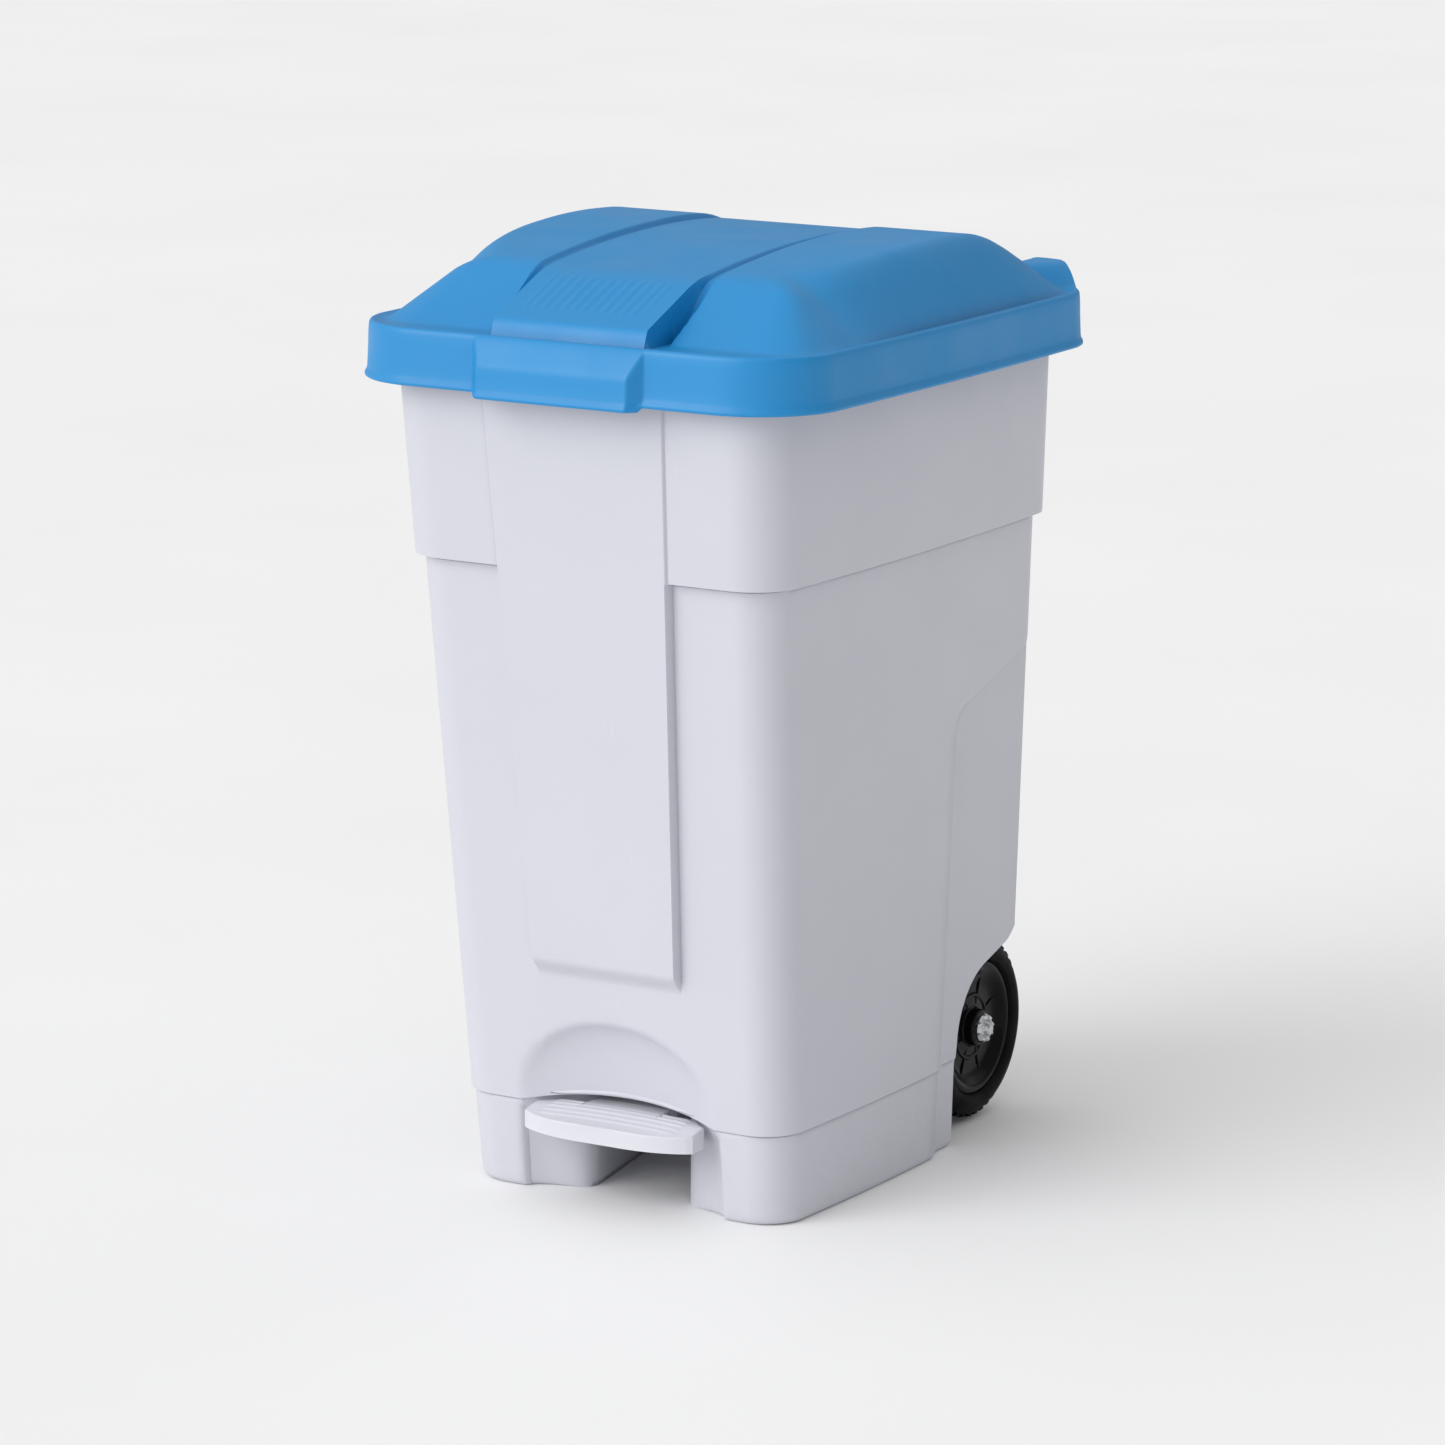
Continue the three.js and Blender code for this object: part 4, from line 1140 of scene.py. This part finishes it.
class PedalSettings(bpy.types.PropertyGroup):
    colour: FloatVectorProperty(
        name="Colour", description="Colour of the pedal's plastic", subtype="COLOR", size=4,
        default=(0.64, 0.645, 0.70, 1.0), min=0.0, max=1.0)
    front_bow: FloatProperty(
        name="Front bow", description="How far the front edge curves back at its ends",
        default=0.016, unit="LENGTH")
    rib_height: FloatProperty(
        name="Rib height", description="Height of the ribs across the tread",
        default=0.0009, unit="LENGTH")


class WheelSettings(bpy.types.PropertyGroup):
    rubber: FloatVectorProperty(
        name="Tyre colour", description="Colour of the tyres", subtype="COLOR", size=4,
        default=(0.004, 0.004, 0.005, 1.0), min=0.0, max=1.0)
    rim: FloatVectorProperty(
        name="Rim colour", description="Colour of the rims", subtype="COLOR", size=4,
        default=(0.003, 0.003, 0.004, 1.0), min=0.0, max=1.0)
    lugs: IntProperty(
        name="Lugs", description="Number of tread blocks round each tyre", default=44, min=12)


class MetalSettings(bpy.types.PropertyGroup):
    colour: FloatVectorProperty(
        name="Colour", description="Colour of the plated steel", subtype="COLOR", size=4,
        default=(0.62, 0.63, 0.65, 1.0), min=0.0, max=1.0)
    roughness: FloatProperty(
        name="Roughness", description="Roughness of the plated steel", default=0.3,
        min=0.0, max=1.0, subtype="FACTOR")


class StageSettings(bpy.types.PropertyGroup):
    floor_size: FloatProperty(
        name="Floor size", description="Width of the pale floor", default=60.0, unit="LENGTH")
    key_strength: FloatProperty(
        name="Key light", description="Strength of the main light, from the front left",
        default=1.42)
    fill_strength: FloatProperty(
        name="Back light", description="Strength of the light from behind", default=0.25)
    sky: FloatProperty(
        name="Sky", description="Strength of the even light all round", default=0.52)
    lens: FloatProperty(
        name="Lens", description="Focal length of the camera", default=148.3, unit="CAMERA")


class BinSettings(bpy.types.PropertyGroup):
    tub: PointerProperty(type=TubSettings)
    lid: PointerProperty(type=LidSettings)
    pedal: PointerProperty(type=PedalSettings)
    wheels: PointerProperty(type=WheelSettings)
    metal: PointerProperty(type=MetalSettings)
    stage: PointerProperty(type=StageSettings)


# ---------- operators ----------
BLACK_PLASTIC = (0.015, 0.015, 0.017, 1.0)
KEY_WAY, BACK_WAY = (-0.42, -0.85, 0.52), (0.3, 0.9, 0.9)      # the ways to the two lights
BRIGHT_SIDE = (-0.45, -0.70, 0.60)     # the way to the brightest part of the sky
CAMERA_PLACE, CAMERA_AIM = (2.316, -3.977, 1.319), (-0.004, -0.006, 0.3547)
CAMERA_ROLL = 0.36                     # degrees


class PEDALBIN_OT_tub(bpy.types.Operator):
    """Builds the tub with its feet, wheel pockets, brackets and lugs"""
    bl_idname = "pedalbin.tub"
    bl_label = "Tub"

    def execute(self, context):
        tub = context.scene.pedal_bin.tub
        plastic = moulded_plastic("Tub plastic", tub.colour, 0.40, 1.0, 0.012, 0.10)
        skin = finish_piece(build_tub_sheets(tub), "tub_shell", "tub", plastic,
                            ("body_shell",), 50.0)
        add_wall(skin, tub.wall / MM)
        finish_piece(build_tub_fittings(), "tub_fittings", "tub", plastic,
                     ("body_shell",))
        return {"FINISHED"}


class PEDALBIN_OT_lid(bpy.types.Operator):
    """Builds the lid with its dome, band, hand lip, hinge hood and knuckles"""
    bl_idname = "pedalbin.lid"
    bl_label = "Lid"

    def execute(self, context):
        lid = context.scene.pedal_bin.lid
        plastic = moulded_plastic("Lid plastic", lid.colour, 0.46, 1.0, 0.02, specular=0.6)
        shell = finish_piece(build_lid_sheet(lid), "lid_shell_skin", "lid",
                             plastic, ("lid_shell",), 46.0)
        add_wall(shell, lid.wall / MM)
        bm = bmesh.new()
        places = [(side * low, side * high) for side in (-1, 1)
                  for low, high in ((108.0, 114.0), (130.0, 136.0))]
        add_knuckles(bm, [tuple(sorted(place)) for place in places], 703.0, HINGE.z, 7.0)
        finish_piece(bm, "lid_knuckles", "lid", plastic, ("lid_shell",))
        return {"FINISHED"}


class PEDALBIN_OT_pedal(bpy.types.Operator):
    """Builds the pedal's tread"""
    bl_idname = "pedalbin.pedal"
    bl_label = "Pedal"

    def execute(self, context):
        pedal = context.scene.pedal_bin.pedal
        plastic = moulded_plastic("Pedal plastic", pedal.colour, 0.38, 1.2, 0.02, 0.15)
        tread = finish_piece(build_pedal_sheet(pedal), "pedal_tread", "pedal",
                             plastic, ("pedal_pad",), 40.0)
        add_wall(tread, 2.4)
        return {"FINISHED"}


class PEDALBIN_OT_wheels(bpy.types.Operator):
    """Builds both wheels: treaded tyres, dished rims and the caps on the axle"""
    bl_idname = "pedalbin.wheels"
    bl_label = "Wheels"

    def execute(self, context):
        wheels, metal = context.scene.pedal_bin.wheels, context.scene.pedal_bin.metal
        rubber = tyre_rubber("Tyre rubber", wheels.rubber)
        gloss = moulded_plastic("Rim plastic", wheels.rim, 0.22, 0.5, 0.1, specular=0.12)
        zinc = bright_metal("Cap steel", metal.colour, metal.roughness * 0.7)
        for side, name in ((-1, "left"), (1, "right")):
            low, high = frame_box("tyre_" + name)
            centre = tuple((low + high) / 2)
            body = "wheel_" + name
            finish_piece(build_tyre(centre, wheels), "tyre_tread_" + name, body,
                         rubber, ("tyre_" + name,), 30.0)
            finish_piece(build_rim(centre, side), "rim_disc_" + name, body,
                         gloss, ("wheel_rim_" + name,), 35.0)
            low, high = frame_box("axle_cap_" + name)
            finish_piece(build_axle_cap(low, high, side), "cap_pressing_" + name, "tub",
                         zinc, ("axle_cap_" + name,), 25.0)
        return {"FINISHED"}


class PEDALBIN_OT_hardware(bpy.types.Operator):
    """Finishes the axle, rod, pins, clips, guides, screws and the rear handle"""
    bl_idname = "pedalbin.hardware"
    bl_label = "Handle and hardware"

    def execute(self, context):
        settings = context.scene.pedal_bin
        zinc = bright_metal("Plated steel", settings.metal.colour, settings.metal.roughness)
        black = moulded_plastic("Black plastic", BLACK_PLASTIC, 0.45, 1.5, 0.1)
        white = moulded_plastic("Fitting plastic", settings.tub.colour, 0.42)
        finishes = {"rear_handle_tube": black, "axle_spacer_left": black,
                    "axle_spacer_right": black, "rod_guide_lower": white,
                    "rod_guide_upper": white}
        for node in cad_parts:
            coat_node(node, finishes.get(node, zinc))
        return {"FINISHED"}


class PEDALBIN_OT_stage(bpy.types.Operator):
    """Builds the pale floor, the soft lights and the camera"""
    bl_idname = "pedalbin.stage"
    bl_label = "Stage"

    def execute(self, context):
        stage = context.scene.pedal_bin.stage
        bm = bmesh.new()
        half = stage.floor_size / 2
        bmesh.ops.create_grid(bm, x_segments=1, y_segments=1, size=half)
        mesh = bpy.data.meshes.new("Floor")
        bm.to_mesh(mesh)
        bm.free()
        floor = bpy.data.objects.new("Floor", mesh)
        context.scene.collection.objects.link(floor)
        pale = Surface("Pale floor", 0.6, specular=0.2)
        tone = pale.blend(pale.remap(pale.noise(1.5, 3.0), 0.3, 0.7), (0.93, 0.93, 0.93, 1.0),
                          (0.96, 0.96, 0.96, 1.0))
        pale.set(pale.shader, "Base Color", tone)
        mesh.materials.append(pale.material)
        self.add_lights(context, stage)
        self.add_camera(context, stage)
        context.scene.view_settings.view_transform = "Standard"
        return {"FINISHED"}

    def add_lights(self, context, stage):
        lights = (
            ("Key", stage.key_strength, 46.0, KEY_WAY),
            ("Back", stage.fill_strength, 60.0, BACK_WAY),
        )
        for name, strength, softness, place in lights:
            data = bpy.data.lights.new(name, "SUN")
            data.energy, data.angle = strength, math.radians(softness)
            light = bpy.data.objects.new(name, data)
            light.rotation_euler = (-Vector(place)).to_track_quat("-Z", "Y").to_euler()
            context.scene.collection.objects.link(light)
        world = context.scene.world or bpy.data.worlds.new("Sky")
        context.scene.world = world
        world.use_nodes = True
        background = world.node_tree.nodes["Background"]
        background.inputs["Color"].default_value = (1.0, 1.0, 1.0, 1.0)
        nodes, links = world.node_tree.nodes, world.node_tree.links
        way = nodes.new("ShaderNodeTexCoord")
        towards = nodes.new("ShaderNodeVectorMath")
        towards.operation = "DOT_PRODUCT"
        towards.inputs[1].default_value = Vector(BRIGHT_SIDE).normalized()
        fade = nodes.new("ShaderNodeMapRange")
        links.new(way.outputs["Generated"], towards.inputs[0])
        links.new(towards.outputs["Value"], fade.inputs["Value"])
        fade.inputs["From Min"].default_value = -0.4
        fade.inputs["To Min"].default_value = stage.sky * 0.62
        fade.inputs["To Max"].default_value = stage.sky * 1.85
        links.new(fade.outputs["Result"], background.inputs["Strength"])

    def add_camera(self, context, stage):
        data = bpy.data.cameras.new("Camera")
        data.lens, data.sensor_width = stage.lens, 36.0
        camera = bpy.data.objects.new("Camera", data)
        camera.location = CAMERA_PLACE
        aim = Vector(CAMERA_AIM) - camera.location
        roll = Matrix.Rotation(math.radians(CAMERA_ROLL), 3, "Z").to_quaternion()
        camera.rotation_euler = (aim.to_track_quat("-Z", "Y") @ roll).to_euler()
        context.scene.collection.objects.link(camera)
        context.scene.camera = camera


OPERATORS = (PEDALBIN_OT_tub, PEDALBIN_OT_lid, PEDALBIN_OT_pedal, PEDALBIN_OT_wheels,
             PEDALBIN_OT_hardware, PEDALBIN_OT_stage)


class PEDALBIN_PT_panel(bpy.types.Panel):
    """Lists the bin's pieces and their sizes"""
    bl_label = "Pedal bin"
    bl_idname = "PEDALBIN_PT_panel"
    bl_space_type = "VIEW_3D"
    bl_region_type = "UI"
    bl_category = "Pedal bin"

    def draw(self, context):
        settings = context.scene.pedal_bin
        for operator in OPERATORS:
            self.layout.operator(operator.bl_idname)
        for group in ("tub", "lid", "pedal", "wheels", "metal", "stage"):
            box = self.layout.box()
            box.label(text=group.capitalize())
            values = getattr(settings, group)
            for name in values.__annotations__:
                box.prop(values, name)


CLASSES = (TubSettings, LidSettings, PedalSettings, WheelSettings, MetalSettings, StageSettings,
           BinSettings, *OPERATORS, PEDALBIN_PT_panel)


def register():
    for cls in CLASSES:
        bpy.utils.register_class(cls)
    bpy.types.Scene.pedal_bin = PointerProperty(type=BinSettings)


def unregister():
    del bpy.types.Scene.pedal_bin
    for cls in reversed(CLASSES):
        bpy.utils.unregister_class(cls)


def main():
    register()
    bpy.ops.pedalbin.tub()
    bpy.ops.pedalbin.lid()
    bpy.ops.pedalbin.pedal()
    bpy.ops.pedalbin.wheels()
    bpy.ops.pedalbin.hardware()
    bpy.ops.pedalbin.stage()


if __name__ == "__main__":
    main()
